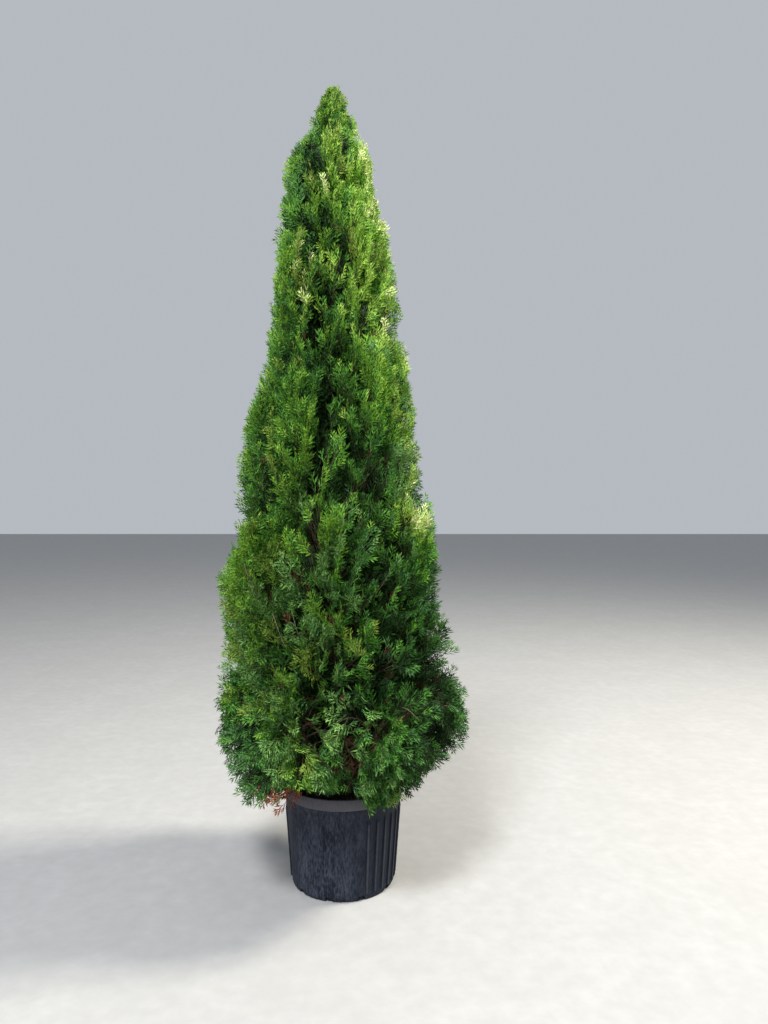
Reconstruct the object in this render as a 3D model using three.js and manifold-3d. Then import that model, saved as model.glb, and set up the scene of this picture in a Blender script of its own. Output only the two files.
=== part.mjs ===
// A thuja (an upright white cedar, 2.9 m tall above its soil) in a round black nursery pot.
// Millimetres, +Z up. The origin is the middle of the pot's flat underside, and -Y is the front.
//
// The plant is built the way it grows. A trunk rises from the potting soil and leans a little to
// the left. Tiers of boughs leave it and turn upwards, and each bough carries one plume: an upright
// mass of foliage with its own stem, twigs and flat toothed sprays. The topmost plumes grow from
// the trunk itself, and the leader stands on its tip. Every plume keeps to a space of its own,
// bounded by flat walls between it and each neighbouring plume, bough and the trunk.

import * as THREE from "three";
import { mergeVertices } from "three/addons/utils/BufferGeometryUtils.js";
import Module from "manifold-3d";

const wasm = await Module();
wasm.setup();

const vec = (x, y, z) => new THREE.Vector3(x, y, z);
const radians = (degrees) => (degrees * Math.PI) / 180;
const UP = vec(0, 0, 1);

// Driving sizes of the whole

const TOTAL_HEIGHT = 3307; // from the ground to the leader's tip
const POT_HEIGHT = 420;
const RIM_RADIUS = 247;
const BASE_RADIUS = 213;
const CLEARANCE = 0.3; // the gap between pieces that meet
const SHORTEST_EDGE = 0.01;
const NUDGES = [0, 0.2, -0.2, 0.4, -0.4, 0.6];
const MERGE_DISTANCE = 1e-3;
const TINY = 1e-6; // under this, two directions count as parallel
const CROWN_HALF_WIDTH = 515;
const CROWN_WIDEST = 640; // the height at which the crown is widest
const CROWN_TUCK = 0.3; // the share of its half-width that it loses down to the rim
const CROWN_POINT = 0.57; // lower is blunter
const LEAN = 46; // how far left of the pot's middle the crown's middle stands
const LEAN_FROM = 400;
const LEAN_TO = 1350; // the height from which the trunk is upright again
const TRUNK_TIP = 2850;
const TRUNK_RADIUS = 27;

// Sizes of the pot

const POT_SEGMENTS = 40;
const POT_WALL = 4;
const POT_FLOOR = 5;
const BASE_EDGE = 14; // the height and depth of the rounded bottom edge
const EDGE_BEVEL = 4.2; // where the rounding's middle stands, in from both sides
const RIM_BAND = 44;
const RIM_STEP = 7; // how far the rim band stands out from the body
const RIM_WALL = 9;
const RIM_ROUND = 4; // the rounding of the rim's top edge
const RIM_DRAFT = 1; // how much narrower the band is at its lower edge
const RIM_LEDGE = 3; // how far the band's lower edge slants
const RIM_INSIDE = 6; // how far below the band the inside starts to widen
const NOTCH = { width: 28, height: 10, depth: 30, count: 10, phase: -103 };

// Sizes of the soil, the trunk and the boughs

const SOIL_BELOW_RIM = 40;
const SOIL_RISE = 15;
const SOIL_EDGE = POT_HEIGHT - SOIL_BELOW_RIM;
const SOIL_TOP = SOIL_EDGE + SOIL_RISE;
const SOIL_FLAT = 62; // the radius of the level place under the trunk
const TRUNK_FOOT = SOIL_TOP + CLEARANCE;
const TRUNK_TIP_RADIUS = 6;
const TRUNK_SIDES = 10;
const TRUNK_STEPS = 13;
const TRUNK_TAPER = 0.9; // 1 is an even taper
const RING_CROWDING = 1.6; // how much closer the trunk's rings stand near its foot
const FLARE = 21; // what the root flare adds to the radius at the soil
const FLARE_HEIGHT = 60;
const ROOT_LOBES = { count: 5, depth: 0.16, turn: 0.6, height: 150 };
const SWAY = 12; // how far the trunk bends from front to back
const SWAY_TURN = 4.2; // and how far round, in radians, over its length
const BOUGH_RADIUS = { skirt: 12, lower: 15, middle: 13, upper: 10, shoulder: 7 };
const BOUGH_TIP_SHARE = 0.55; // a bough's radius at its tip, as a share of that at its foot
const BOUGH_SIDES = 5;
const BOUGH_STEPS = 3;
const BOUGH_BEND = 0.45; // how sharply a bough turns up into its plume

// Tiers of plumes, each standing round the trunk at even steps. Heights are those of the bough's
// joint on the trunk, the plume's foot at the bough's tip, and the plume's own tip, which rises
// towards the right by tilt.

const TIERS = [
  { name: "skirt", count: 6, joint: 440, foot: 525, tip: 750, tilt: -30, phase: -59 },
  { name: "lower", count: 6, joint: 560, foot: 730, tip: 1400, tilt: 30, phase: -85 },
  { name: "middle", count: 6, joint: 1000, foot: 1220, tip: 1980, tilt: 85, phase: -115 },
  { name: "upper", count: 5, joint: 1600, foot: 1790, tip: 2590, tilt: 110, phase: -56 },
  { name: "shoulder", count: 4, joint: 2220, foot: 2330, tip: 2960, tilt: -25, phase: -95 },
];
const FOOT_SHARE = { skirt: 0.4, lower: 0.36, middle: 0.36, upper: 0.36, shoulder: 0.3 };
// How far out a plume's tip stands, as a share of the crown's reach
const TIP_SHARE = { skirt: 0.67, lower: 0.8, middle: 0.78, upper: 0.83, shoulder: 0.86 };
const WIDTH_SHARE = 1.05; // a plume's half-width, as a share of half the way to the next one
const PLUME_DEPTH = { skirt: 165, lower: 188, middle: 168, upper: 122, shoulder: 98, leader: 88 };
const SPRAY_LENGTH = {
  skirt: 205, lower: 215, middle: 200, upper: 178, shoulder: 155, leader: 140,
};
const JITTER = 26; // how far heights stray from their tier's
const TURN_JITTER = 0.18; // how far directions stray, as a share of the step round
const STAGGER = 23; // the step in height between the joints of a tier's boughs
const NEIGHBOUR_GAP = 3; // half the clear width between two plumes
const LIMB_GAP = 4; // the clear width between a plume and a limb that isn't its own
const SKIRT_SLOPE = 0.35; // how steeply the foliage may hang past the pot's rim
const RIM_GAP = 10;
const SEED = { tier: 100, plume: 1000, core: 500, leader: 9000 };

// Sizes of the foliage

const GOLDEN_ANGLE = radians(137.508);
const FLAME = { from: 0.16, span: 0.76, bluntness: 0.6 }; // the stretch of a sine that a plume fills
const STEM_END = 0.3; // the share of the way up the plume at which its stem ends, in the core
const STEM_TAPER = 0.8;
const CORE_SHARE = 0.5; // the core's half-width as a share of the plume's
const CORE_SIDES = 6;
const CORE_STEPS = 5;
const CORE_LENGTH = 0.94; // of the plume's stem
const CORE_BLUNTNESS = 0.5;
const CORE_LUMPS = { least: 0.85, range: 0.3 };
const CORE_ROOM = 0.9; // the share of the way to a wall that the core may fill
const TWIGS = 12;
const TWIG_RADIUS = 5;
const TWIG_LEAN = { foot: 62, tip: 28, jitter: 8 }; // degrees from the stem
const TWIG_STRAY = 0.4; // of the step from one twig to the next
const TWIG_GAP = 3; // what a twig keeps clear of the walls
const DROOP = 0.8;
const TWIG_ENDS = [1.12, 0.66]; // how far twigs reach in turn, as a share of the core's half-width
const CROWDING = 0.35; // how much twigs crowd to the side that is turned away from the trunk
const SPRAY_WIDTH = 0.85; // of its length
const SPRAY_THICKNESS = 0.035; // of its length
const SPRAY_SIZES = [1, 0.8, 0.62]; // a spray is tried full size, and then smaller
const SPRAY_ROOT = 0.9; // where on its twig a spray is rooted
const SPRAY_RIDGE = 0.4; // where along the spray its ridges are highest
// The outline, along and across: the root, left tip, left notch, middle tip, right notch, right tip
const SPRAY_OUTLINE = [
  [0, 0], [0.56, -0.5], [0.63, -0.17], [1, 0], [0.7, 0.15], [0.44, 0.5],
];
const CREST = { place: 0.9, roll: 0.4 }; // the spray on the top of each stem

// Closed meshes and solids

// Moves each vertex of a geometry to the place that placeOf gives for it.
function reshape(geometry, placeOf) {
  const position = geometry.getAttribute("position");
  for (let i = 0; i < position.count; i++) {
    const place = placeOf(vec(0, 0, 0).fromBufferAttribute(position, i));
    position.setXYZ(i, place.x, place.y, place.z);
  }
  return geometry;
}

// A closed three.js geometry as a solid. Faces that collapse when vertices merge are left out.
function solidOf(geometry) {
  geometry.deleteAttribute("normal");
  geometry.deleteAttribute("uv");
  const merged = mergeVertices(geometry, MERGE_DISTANCE);
  const order = merged.index.array;
  const faces = [];
  for (let i = 0; i < order.length; i += 3) {
    const [a, b, c] = [order[i], order[i + 1], order[i + 2]];
    if (a !== b && b !== c && c !== a) faces.push(a, b, c);
  }
  return new wasm.Manifold(
    new wasm.Mesh({
      numProp: 3,
      vertProperties: merged.getAttribute("position").array,
      triVerts: new Uint32Array(faces),
    }),
  );
}

function geometryOf(solid) {
  const mesh = solid.getMesh();
  const geometry = new THREE.BufferGeometry();
  const position = new THREE.BufferAttribute(new Float32Array(mesh.vertProperties), 3);
  geometry.setAttribute("position", position);
  geometry.setIndex(new THREE.BufferAttribute(new Uint32Array(mesh.triVerts), 1));
  geometry.computeVertexNormals();
  return geometry;
}

// The length of a solid's shortest edge.
function shortestEdge(solid) {
  const { vertProperties: at, triVerts: order } = solid.getMesh();
  const lengths = Array.from(order, (vertex, i) => {
    const a = 3 * vertex;
    const b = 3 * order[i % 3 === 2 ? i - 2 : i + 1];
    return Math.hypot(at[a] - at[b], at[a + 1] - at[b + 1], at[a + 2] - at[b + 2]);
  });
  return lengths.reduce((least, length) => Math.min(least, length));
}

// The one body that pieces make when they are fused. A piece that would leave an edge too short
// to hold is raised or lowered by a hair, or skipped if that doesn't help. A loose scrap is
// dropped, and a hollow that the fusing seals is filled.
function fused(pieces) {
  const whole = pieces.reduce((sum, piece) => {
    for (const nudge of NUDGES) {
      const joined = sum.add(piece.translate(0, 0, nudge));
      if (shortestEdge(joined) >= SHORTEST_EDGE) return joined;
    }
    return sum;
  });
  return whole
    .decompose()
    .reduce((best, body) => (body.volume() > best.volume() ? body : best));
}

// Two directions square to a third: the first is level.
function frameAround(direction) {
  const level = vec(-direction.y, direction.x, 0);
  if (level.length() < TINY) level.set(1, 0, 0);
  level.normalize();
  return [level, vec(0, 0, 0).crossVectors(direction, level).normalize()];
}

// A limb along a curve. radiusAt gives its radius from the share of the way and the angle round.
function limbGeometry(curve, sides, steps, radiusAt) {
  return reshape(new THREE.CylinderGeometry(1, 1, 1, sides, steps), (p) => {
    const t = p.y + 0.5;
    const [level, upright] = frameAround(curve.getTangent(t));
    const radius = radiusAt(t, Math.atan2(-p.z, p.x));
    return curve
      .getPoint(t)
      .addScaledVector(level, p.x * radius)
      .addScaledVector(upright, -p.z * radius);
  });
}

// A seeded stream of numbers from 0 to 1, the same on every run.
function seeded(seed) {
  let state = seed >>> 0;
  return () => {
    state = (state + 0x6d2b79f5) >>> 0;
    let t = Math.imul(state ^ (state >>> 15), 1 | state);
    t = (t + Math.imul(t ^ (t >>> 7), 61 | t)) ^ t;
    return ((t ^ (t >>> 14)) >>> 0) / 4294967296;
  };
}

const smooth = (low, high, value) => THREE.MathUtils.smoothstep(value, low, high);

// The pot: a tapering round tub of black moulded plastic with a deep plain rim band, and drain
// notches in its bottom edge.

const BODY_TOP = POT_HEIGHT - RIM_BAND;
const BODY_TOP_RADIUS = RIM_RADIUS - RIM_STEP;
const POT_SLOPE = (BODY_TOP_RADIUS - BASE_RADIUS) / (BODY_TOP - BASE_EDGE);

const bodyRadius = (z) => BASE_RADIUS + POT_SLOPE * (z - BASE_EDGE);

// A round piece turned about the pot's middle line, from its half-profile.
function turned(profile) {
  const outline = profile.map(([r, z]) => new THREE.Vector2(r, z));
  return new THREE.LatheGeometry(outline, POT_SEGMENTS).rotateX(Math.PI / 2);
}

function notchSolid(degrees) {
  const notch = new THREE.BoxGeometry(NOTCH.depth, NOTCH.width, 2 * NOTCH.height);
  notch.translate(BASE_RADIUS, 0, 0);
  notch.rotateZ(radians(degrees));
  return solidOf(notch);
}

function potSolid() {
  const inner = (z) => bodyRadius(z) - POT_WALL;
  const tub = turned([
    [0, 0],
    [BASE_RADIUS - BASE_EDGE, 0],
    [BASE_RADIUS - EDGE_BEVEL, EDGE_BEVEL],
    [BASE_RADIUS, BASE_EDGE],
    [BODY_TOP_RADIUS, BODY_TOP],
    [RIM_RADIUS - RIM_DRAFT, BODY_TOP + RIM_LEDGE],
    [RIM_RADIUS, POT_HEIGHT - RIM_ROUND],
    [RIM_RADIUS - RIM_ROUND, POT_HEIGHT],
    [RIM_RADIUS - RIM_WALL, POT_HEIGHT],
    [inner(BODY_TOP), BODY_TOP - RIM_INSIDE],
    [inner(2 * BASE_EDGE), 2 * BASE_EDGE],
    [BASE_RADIUS - BASE_EDGE, POT_FLOOR],
    [0, POT_FLOOR],
  ]);
  let pot = solidOf(tub);
  for (let n = 0; n < NOTCH.count; n++)
    pot = pot.subtract(notchSolid(NOTCH.phase + (360 * n) / NOTCH.count));
  return pot;
}

// The potting soil: it fills the pot to a little below the rim, and rises to the trunk.
function soilSolid() {
  const against = (z) => bodyRadius(z) - POT_WALL - CLEARANCE;
  const wallTop = BODY_TOP - 8; // over this the inside widens away from the soil
  const fill = turned([
    [0, POT_FLOOR + CLEARANCE],
    [BASE_RADIUS - BASE_EDGE - CLEARANCE, POT_FLOOR + CLEARANCE],
    [against(2 * BASE_EDGE), 2 * BASE_EDGE + CLEARANCE],
    [against(wallTop), wallTop],
    [against(wallTop), SOIL_EDGE],
    [SOIL_FLAT, SOIL_TOP],
    [0, SOIL_TOP],
  ]);
  return solidOf(fill);
}

// The trunk: whole from a flat cut on the soil to its tip under the leader plume.

// The middle of the plant at a height: the trunk's line, carried on up through the leader.
function middleAt(z) {
  const height = (z - TRUNK_FOOT) / (TOTAL_HEIGHT - TRUNK_FOOT);
  const lean = -LEAN * smooth(LEAN_FROM, LEAN_TO, z);
  return vec(lean, SWAY * Math.sin(SWAY_TURN * height), z);
}

// The trunk's line, with level rings along it that stand closer near the root flare.
class TrunkLine extends THREE.Curve {
  getPoint(t) {
    return middleAt(TRUNK_FOOT + (TRUNK_TIP - TRUNK_FOOT) * t ** RING_CROWDING);
  }

  getTangent() {
    return UP.clone();
  }
}

function trunkRadius(z) {
  const height = (z - TRUNK_FOOT) / (TRUNK_TIP - TRUNK_FOOT);
  const flare = FLARE * Math.exp(-(z - TRUNK_FOOT) / FLARE_HEIGHT);
  return TRUNK_RADIUS + (TRUNK_TIP_RADIUS - TRUNK_RADIUS) * height ** TRUNK_TAPER + flare;
}

function trunkSolid(extra) {
  const line = new TrunkLine();
  const radiusAt = (t, angle) => {
    const z = line.getPoint(t).z;
    const { count, depth, turn, height } = ROOT_LOBES;
    const spread = 1 - smooth(TRUNK_FOOT, TRUNK_FOOT + height, z);
    return trunkRadius(z) * (1 + depth * spread * Math.cos(count * angle + turn)) + extra;
  };
  return solidOf(limbGeometry(line, TRUNK_SIDES, TRUNK_STEPS, radiusAt));
}

// The crown's outline: a narrow ogive that tucks in again over the pot.
function crownReach(z) {
  const down = Math.max(0, CROWN_WIDEST - z) / (CROWN_WIDEST - POT_HEIGHT);
  const up = THREE.MathUtils.clamp((z - CROWN_WIDEST) / (TOTAL_HEIGHT - CROWN_WIDEST), 0, 1);
  return CROWN_HALF_WIDTH * (1 - CROWN_TUCK * down ** 2) * (1 - up) ** CROWN_POINT;
}

// Plumes

// A place beside the trunk's line: at a height, out from it by a share of the crown's reach.
function placeOut(way, height, share) {
  return middleAt(height).addScaledVector(way, share * crownReach(height));
}

function plumesOf(tier, tierIndex) {
  const random = seeded(SEED.tier + tierIndex);
  const spacing = (2 * Math.PI) / tier.count;
  return Array.from({ length: tier.count }, (_, n) => {
    const azimuth = radians(tier.phase) + spacing * (n + TURN_JITTER * (random() - 0.5));
    const way = vec(Math.cos(azimuth), Math.sin(azimuth), 0);
    const tipHeight = tier.tip + tier.tilt * way.x + JITTER * (2 * random() - 1);
    const footHeight = tier.foot + JITTER * (2 * random() - 1);
    const halfStep = Math.sin(spacing / 2) * crownReach((footHeight + tipHeight) / 2);
    return {
      name: `${tier.name}_${n + 1}`,
      tier: tier.name,
      way,
      joint: tier.joint + STAGGER * ((2 * n) % tier.count),
      foot: placeOut(way, footHeight, FOOT_SHARE[tier.name]),
      tip: placeOut(way, tipHeight, TIP_SHARE[tier.name]),
      width: WIDTH_SHARE * halfStep,
      depth: PLUME_DEPTH[tier.name],
      seed: SEED.plume * (tierIndex + 1) + n,
    };
  });
}

const LEADER = {
  name: "leader",
  tier: "leader",
  way: vec(0, -1, 0),
  foot: middleAt(TRUNK_TIP + CLEARANCE),
  tip: middleAt(TOTAL_HEIGHT - SPRAY_LENGTH.leader / 2),
  width: PLUME_DEPTH.leader,
  depth: PLUME_DEPTH.leader,
  seed: SEED.leader,
};

const PLUMES = [...TIERS.flatMap(plumesOf), LEADER];

// A plume's own directions: along its stem, level across it, and out from the trunk.
function plumeFrame(plume) {
  const along = plume.tip.clone().sub(plume.foot).normalize();
  const across = vec(-plume.way.y, plume.way.x, 0);
  const out = vec(0, 0, 0).crossVectors(across, along).normalize();
  return { along, across, out };
}

// The direction square to a plume's stem that turns by angle from across towards out.
function sideways(plume, angle) {
  const { across, out } = plumeFrame(plume);
  return across.multiplyScalar(Math.cos(angle)).addScaledVector(out, Math.sin(angle));
}

// Where t is the share of the way up a plume's stem.
const stemPoint = (plume, t) => plume.foot.clone().lerp(plume.tip, t);

// A plume's half-width at t along its stem, towards an angle: it has the shape of a flame.
function halfWidth(plume, t, angle) {
  const flame = Math.sin(Math.PI * (FLAME.from + FLAME.span * t)) ** FLAME.bluntness;
  return flame / Math.hypot(Math.cos(angle) / plume.width, Math.sin(angle) / plume.depth);
}

// Boughs. Each leaves the trunk and bends up into the line of its plume's stem, which starts
// square to the bough's tip. The shoulder plumes have no bough: the same limb is their stem, and
// runs on into the core.

const hasBough = (plume) => !["shoulder", "leader"].includes(plume.tier);

function boughLine(plume) {
  const { along } = plumeFrame(plume);
  const start = middleAt(plume.joint);
  const end = hasBough(plume)
    ? plume.foot.clone().addScaledVector(along, -CLEARANCE)
    : stemPoint(plume, STEM_END);
  const bend = end.clone().addScaledVector(along, -BOUGH_BEND * start.distanceTo(end));
  return new THREE.QuadraticBezierCurve3(start, bend, end);
}

function stemRadius(plume) {
  if (plume.tier === "leader") return TRUNK_TIP_RADIUS;
  return BOUGH_RADIUS[plume.tier] * BOUGH_TIP_SHARE;
}

function boughSolid(plume, trunkCutter) {
  const [foot, tip] = [BOUGH_RADIUS[plume.tier], stemRadius(plume)];
  const radiusAt = (t) => foot + (tip - foot) * t;
  const whole = limbGeometry(boughLine(plume), BOUGH_SIDES, BOUGH_STEPS, radiusAt);
  return fused([solidOf(whole).subtract(trunkCutter)]);
}

// Spaces

// The nearest points of two straight stretches, from a0 to a1 and from b0 to b1.
function nearest(a0, a1, b0, b1) {
  const u = a1.clone().sub(a0);
  const v = b1.clone().sub(b0);
  const w = a0.clone().sub(b0);
  const [uu, uv, vv, uw, vw] = [u.dot(u), u.dot(v), v.dot(v), u.dot(w), v.dot(w)];
  const scale = uu * vv - uv * uv;
  const first = scale > TINY ? THREE.MathUtils.clamp((uv * vw - vv * uw) / scale, 0, 1) : 0;
  const t = THREE.MathUtils.clamp((uv * first + vw) / vv, 0, 1);
  const s = THREE.MathUtils.clamp((uv * t - uw) / uu, 0, 1);
  return [a0.clone().addScaledVector(u, s), b0.clone().addScaledVector(v, t)];
}

// A flat wall of a space, square to the way from one point to another and at a distance from
// the first: a point p is inside where normal . p is under the limit.
function wallTowards(from, to, distanceOf) {
  const normal = to.clone().sub(from);
  const length = normal.length();
  normal.divideScalar(length);
  return { normal, limit: normal.dot(from) + distanceOf(length) };
}

// The walls against a limb, one for each straight stretch between its points.
function wallsAgainst(plume, points, radius) {
  return points.slice(1).map((point, i) => {
    const [own, wood] = nearest(plume.foot, plume.tip, points[i], point);
    return wallTowards(own, wood, (length) => length - radius - LIMB_GAP);
  });
}

// A space's walls: one against each other plume, placed by their sizes, those against the trunk
// and every other bough, one square across its own foot, one over the pot's rim, and the top.
function wallsOf(plume) {
  const sizeOf = ({ width, depth }) => Math.sqrt(width * depth);
  const walls = [];
  for (const other of PLUMES.filter((one) => one !== plume)) {
    const [own, far] = nearest(plume.foot, plume.tip, other.foot, other.tip);
    const share = sizeOf(plume) / (sizeOf(plume) + sizeOf(other));
    walls.push(wallTowards(own, far, (length) => share * length - NEIGHBOUR_GAP));
    if (other !== LEADER) {
      const line = boughLine(other).getPoints(BOUGH_STEPS);
      walls.push(...wallsAgainst(plume, line, BOUGH_RADIUS[other.tier]));
    }
  }
  if (plume !== LEADER) {
    const line = new TrunkLine().getPoints(TRUNK_STEPS);
    for (let i = 1; i < line.length; i++) {
      const stretch = [line[i - 1], line[i]];
      walls.push(...wallsAgainst(plume, stretch, trunkRadius(line[i - 1].z)));
    }
  }
  const back = plumeFrame(plume).along.negate();
  walls.push({ normal: back, limit: back.dot(plume.foot) });
  const rimEdge = plume.way.clone().multiplyScalar(RIM_RADIUS);
  rimEdge.z = POT_HEIGHT + RIM_GAP;
  const below = UP.clone().addScaledVector(plume.way, SKIRT_SLOPE).normalize().negate();
  walls.push({ normal: below, limit: below.dot(rimEdge) });
  walls.push({ normal: UP, limit: TOTAL_HEIGHT });
  return walls;
}

const isInside = (walls, p) => walls.every(({ normal, limit }) => normal.dot(p) <= limit);

// How far a ray from a point inside a space runs before it meets a wall.
function roomFrom(walls, start, direction) {
  const closing = walls.filter(({ normal }) => normal.dot(direction) > TINY);
  const distances = closing.map(
    ({ normal, limit }) => (limit - normal.dot(start)) / normal.dot(direction),
  );
  return Math.min(...distances);
}

// Foliage

// A plume's core: a ball drawn out along the stem into a lumpy flame.
function coreSolid(plume, walls) {
  const random = seeded(plume.seed + SEED.core);
  const { least, range } = CORE_LUMPS;
  const corners = (CORE_STEPS + 1) * CORE_SIDES;
  const lumps = Array.from({ length: corners }, () => least + range * random());
  const ball = new THREE.SphereGeometry(1, CORE_SIDES, CORE_STEPS);
  return solidOf(
    reshape(ball, (p) => {
      const angle = Math.atan2(p.z, p.x);
      const row = Math.round((Math.acos(THREE.MathUtils.clamp(p.y, -1, 1)) / Math.PI) * CORE_STEPS);
      const column = Math.round((angle / (2 * Math.PI) + 1) * CORE_SIDES) % CORE_SIDES;
      const t = 0.5 + 0.5 * CORE_LENGTH * p.y;
      const way = sideways(plume, angle);
      const roundness = Math.hypot(p.x, p.z) ** CORE_BLUNTNESS;
      const lump = lumps[row * CORE_SIDES + column];
      const wanted = CORE_SHARE * roundness * halfWidth(plume, t, angle) * lump;
      const room = roomFrom(walls, stemPoint(plume, t), way);
      return stemPoint(plume, t).addScaledVector(way, Math.min(wanted, CORE_ROOM * room));
    }),
  );
}

// A spray is a flat toothed blade with a low ridge on both faces: a middle tip between two side
// tips at unequal heights, as the branchlets of a thuja alternate. Its corners are its outline
// from the root round to the left, and the tops of its two ridges.
function sprayCorners(root, way, side, length) {
  const face = vec(0, 0, 0).crossVectors(way, side).normalize();
  const at = (along, across, over) =>
    root
      .clone()
      .addScaledVector(way, along * length)
      .addScaledVector(side, across * SPRAY_WIDTH * length)
      .addScaledVector(face, over * SPRAY_THICKNESS * length);
  const outline = SPRAY_OUTLINE.map(([along, across]) => at(along, across, 0));
  return { outline, ridges: [0.5, -0.5].map((over) => at(SPRAY_RIDGE, 0, over)) };
}

// The blade as a six-sided double pyramid, pressed flat.
function spraySolid({ outline, ridges }) {
  const sides = outline.length;
  const blade = new THREE.SphereGeometry(1, sides, 2);
  return solidOf(
    reshape(blade, (p) => {
      if (p.y > 0.5) return ridges[0];
      if (p.y < -0.5) return ridges[1];
      const column = Math.round((Math.atan2(p.z, -p.x) / (2 * Math.PI) + 1) * sides);
      return outline[column % sides];
    }),
  );
}

// The twigs of a plume, by the growth rule: at even steps along the stem, each turned by the
// golden angle from the last, and leaning forwards more towards the tip. The skirt's low twigs
// droop. Every other twig is short, and ends inside the core.
function twigsOf(plume) {
  const { along } = plumeFrame(plume);
  const random = seeded(plume.seed);
  const droop = plume.tier === "skirt" ? DROOP : 0;
  const { foot, tip, jitter } = TWIG_LEAN;
  return Array.from({ length: TWIGS }, (_, k) => {
    const t = (k + 0.5 + TWIG_STRAY * (random() - 0.5)) / TWIGS;
    const turn = GOLDEN_ANGLE * k + plume.seed;
    const angle = Math.PI / 2 + turn - CROWDING * Math.sin(turn);
    const lean = radians(foot + (tip - foot) * t + jitter * (random() - 0.5));
    const way = sideways(plume, angle)
      .multiplyScalar(Math.sin(lean))
      .addScaledVector(along, Math.cos(lean))
      .addScaledVector(UP, -droop * (1 - t))
      .normalize();
    const reach = halfWidth(plume, t, angle) / Math.sin(lean);
    const end = CORE_SHARE * TWIG_ENDS[k % 2];
    return { start: stemPoint(plume, t), way, reach, end, roll: Math.PI * random() };
  });
}

function straightLimb(start, end, startRadius, endRadius, sides) {
  const radiusAt = (t) => startRadius + (endRadius - startRadius) * t;
  return solidOf(limbGeometry(new THREE.LineCurve3(start, end), sides, 1, radiusAt));
}

// The stem starts at the plume's foot, or for a shoulder plume at the trunk, and ends inside the
// core.
function stemSolid(plume, trunkCutter) {
  if (plume.tier === "shoulder") return boughSolid(plume, trunkCutter);
  const radius = stemRadius(plume);
  const inCore = stemPoint(plume, STEM_END);
  return straightLimb(plume.foot, inCore, radius, STEM_TAPER * radius, BOUGH_SIDES);
}

// A plume's mass: its stem and core, its twigs, and the sprays that stand out of it. A spray
// that would leave the plume's space is skipped.
function massSolid(plume, trunkCutter) {
  const walls = wallsOf(plume);
  const { along } = plumeFrame(plume);
  const fullLength = SPRAY_LENGTH[plume.tier];
  const pieces = [stemSolid(plume, trunkCutter), coreSolid(plume, walls)];

  const addSpray = (root, way, roll, length) => {
    const [level, upright] = frameAround(way);
    const side = level.multiplyScalar(Math.cos(roll)).addScaledVector(upright, Math.sin(roll));
    const sprays = SPRAY_SIZES.map((size) => sprayCorners(root, way, side, size * length));
    const fitting = sprays.find(({ outline, ridges }) =>
      [...outline, ...ridges].every((p) => isInside(walls, p)),
    );
    if (fitting) pieces.push(spraySolid(fitting));
  };

  for (const { start, way, reach, end, roll } of twigsOf(plume)) {
    const room = Math.min(reach, roomFrom(walls, start, way)) - TWIG_GAP;
    const tip = start.clone().addScaledVector(way, end * room);
    const rooted = SPRAY_ROOT * end * room;
    const root = start.clone().addScaledVector(way, rooted);
    pieces.push(straightLimb(start, tip, TWIG_RADIUS, 0, 3));
    addSpray(root, way, roll, Math.min(fullLength, room - rooted));
  }

  const crest = stemPoint(plume, CREST.place);
  const crestWay = plume === LEADER ? UP : along;
  const crestLength = plume === LEADER ? TOTAL_HEIGHT - CLEARANCE - crest.z : fullLength;
  addSpray(crest, crestWay, CREST.roll, crestLength);
  return fused(pieces);
}

// The finishes

const finish = (color, roughness) =>
  new THREE.MeshStandardMaterial({ color, roughness, metalness: 0 });
const BLACK_PLASTIC = finish(0x2b2a2c, 0.62);
const SOIL = finish(0x2c2119, 0.95);
const BARK = finish(0x6a4530, 0.9);
const FOLIAGE = {
  skirt: finish(0x2f5e22, 0.7),
  lower: finish(0x35681f, 0.7),
  middle: finish(0x3c7020, 0.7),
  upper: finish(0x4a7c22, 0.7),
  shoulder: finish(0x5a8526, 0.7),
  leader: finish(0x6c9030, 0.7),
};

// The whole plant in its pot

const thuja = new THREE.Group();

function add(name, solid, material) {
  const mesh = new THREE.Mesh(geometryOf(solid), material);
  mesh.name = name;
  thuja.add(mesh);
}

const trunkCutter = trunkSolid(CLEARANCE);
add("pot", potSolid(), BLACK_PLASTIC);
add("potting_soil", soilSolid(), SOIL);
add("trunk", trunkSolid(0), BARK);
for (const plume of PLUMES.filter(hasBough))
  add(`bough_${plume.name}`, boughSolid(plume, trunkCutter), BARK);
for (const plume of PLUMES)
  add(`foliage_${plume.name}`, massSolid(plume, trunkCutter), FOLIAGE[plume.tier]);

export default thuja;
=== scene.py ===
import math

import bpy
import numpy as np
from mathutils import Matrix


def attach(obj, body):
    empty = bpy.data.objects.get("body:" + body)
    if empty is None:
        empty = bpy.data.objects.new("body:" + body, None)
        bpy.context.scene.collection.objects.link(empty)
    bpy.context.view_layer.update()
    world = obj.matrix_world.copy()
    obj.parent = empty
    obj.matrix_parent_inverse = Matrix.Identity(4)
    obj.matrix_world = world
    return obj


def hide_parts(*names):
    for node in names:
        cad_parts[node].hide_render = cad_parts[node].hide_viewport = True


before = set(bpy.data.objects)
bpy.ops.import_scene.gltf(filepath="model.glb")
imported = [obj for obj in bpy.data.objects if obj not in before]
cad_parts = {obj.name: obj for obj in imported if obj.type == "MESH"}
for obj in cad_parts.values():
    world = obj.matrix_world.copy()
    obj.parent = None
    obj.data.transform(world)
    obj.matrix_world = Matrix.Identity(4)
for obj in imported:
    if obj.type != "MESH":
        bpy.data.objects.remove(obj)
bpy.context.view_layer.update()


# ---- Camera ----
# A phone camera at eye height, a little to the right of the pot and looking almost level past
# the plant. The picture is 768 wide and 1024 high, and the long side takes the whole sensor.

LOOKING_DOWN = 1.12  # degrees

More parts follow.
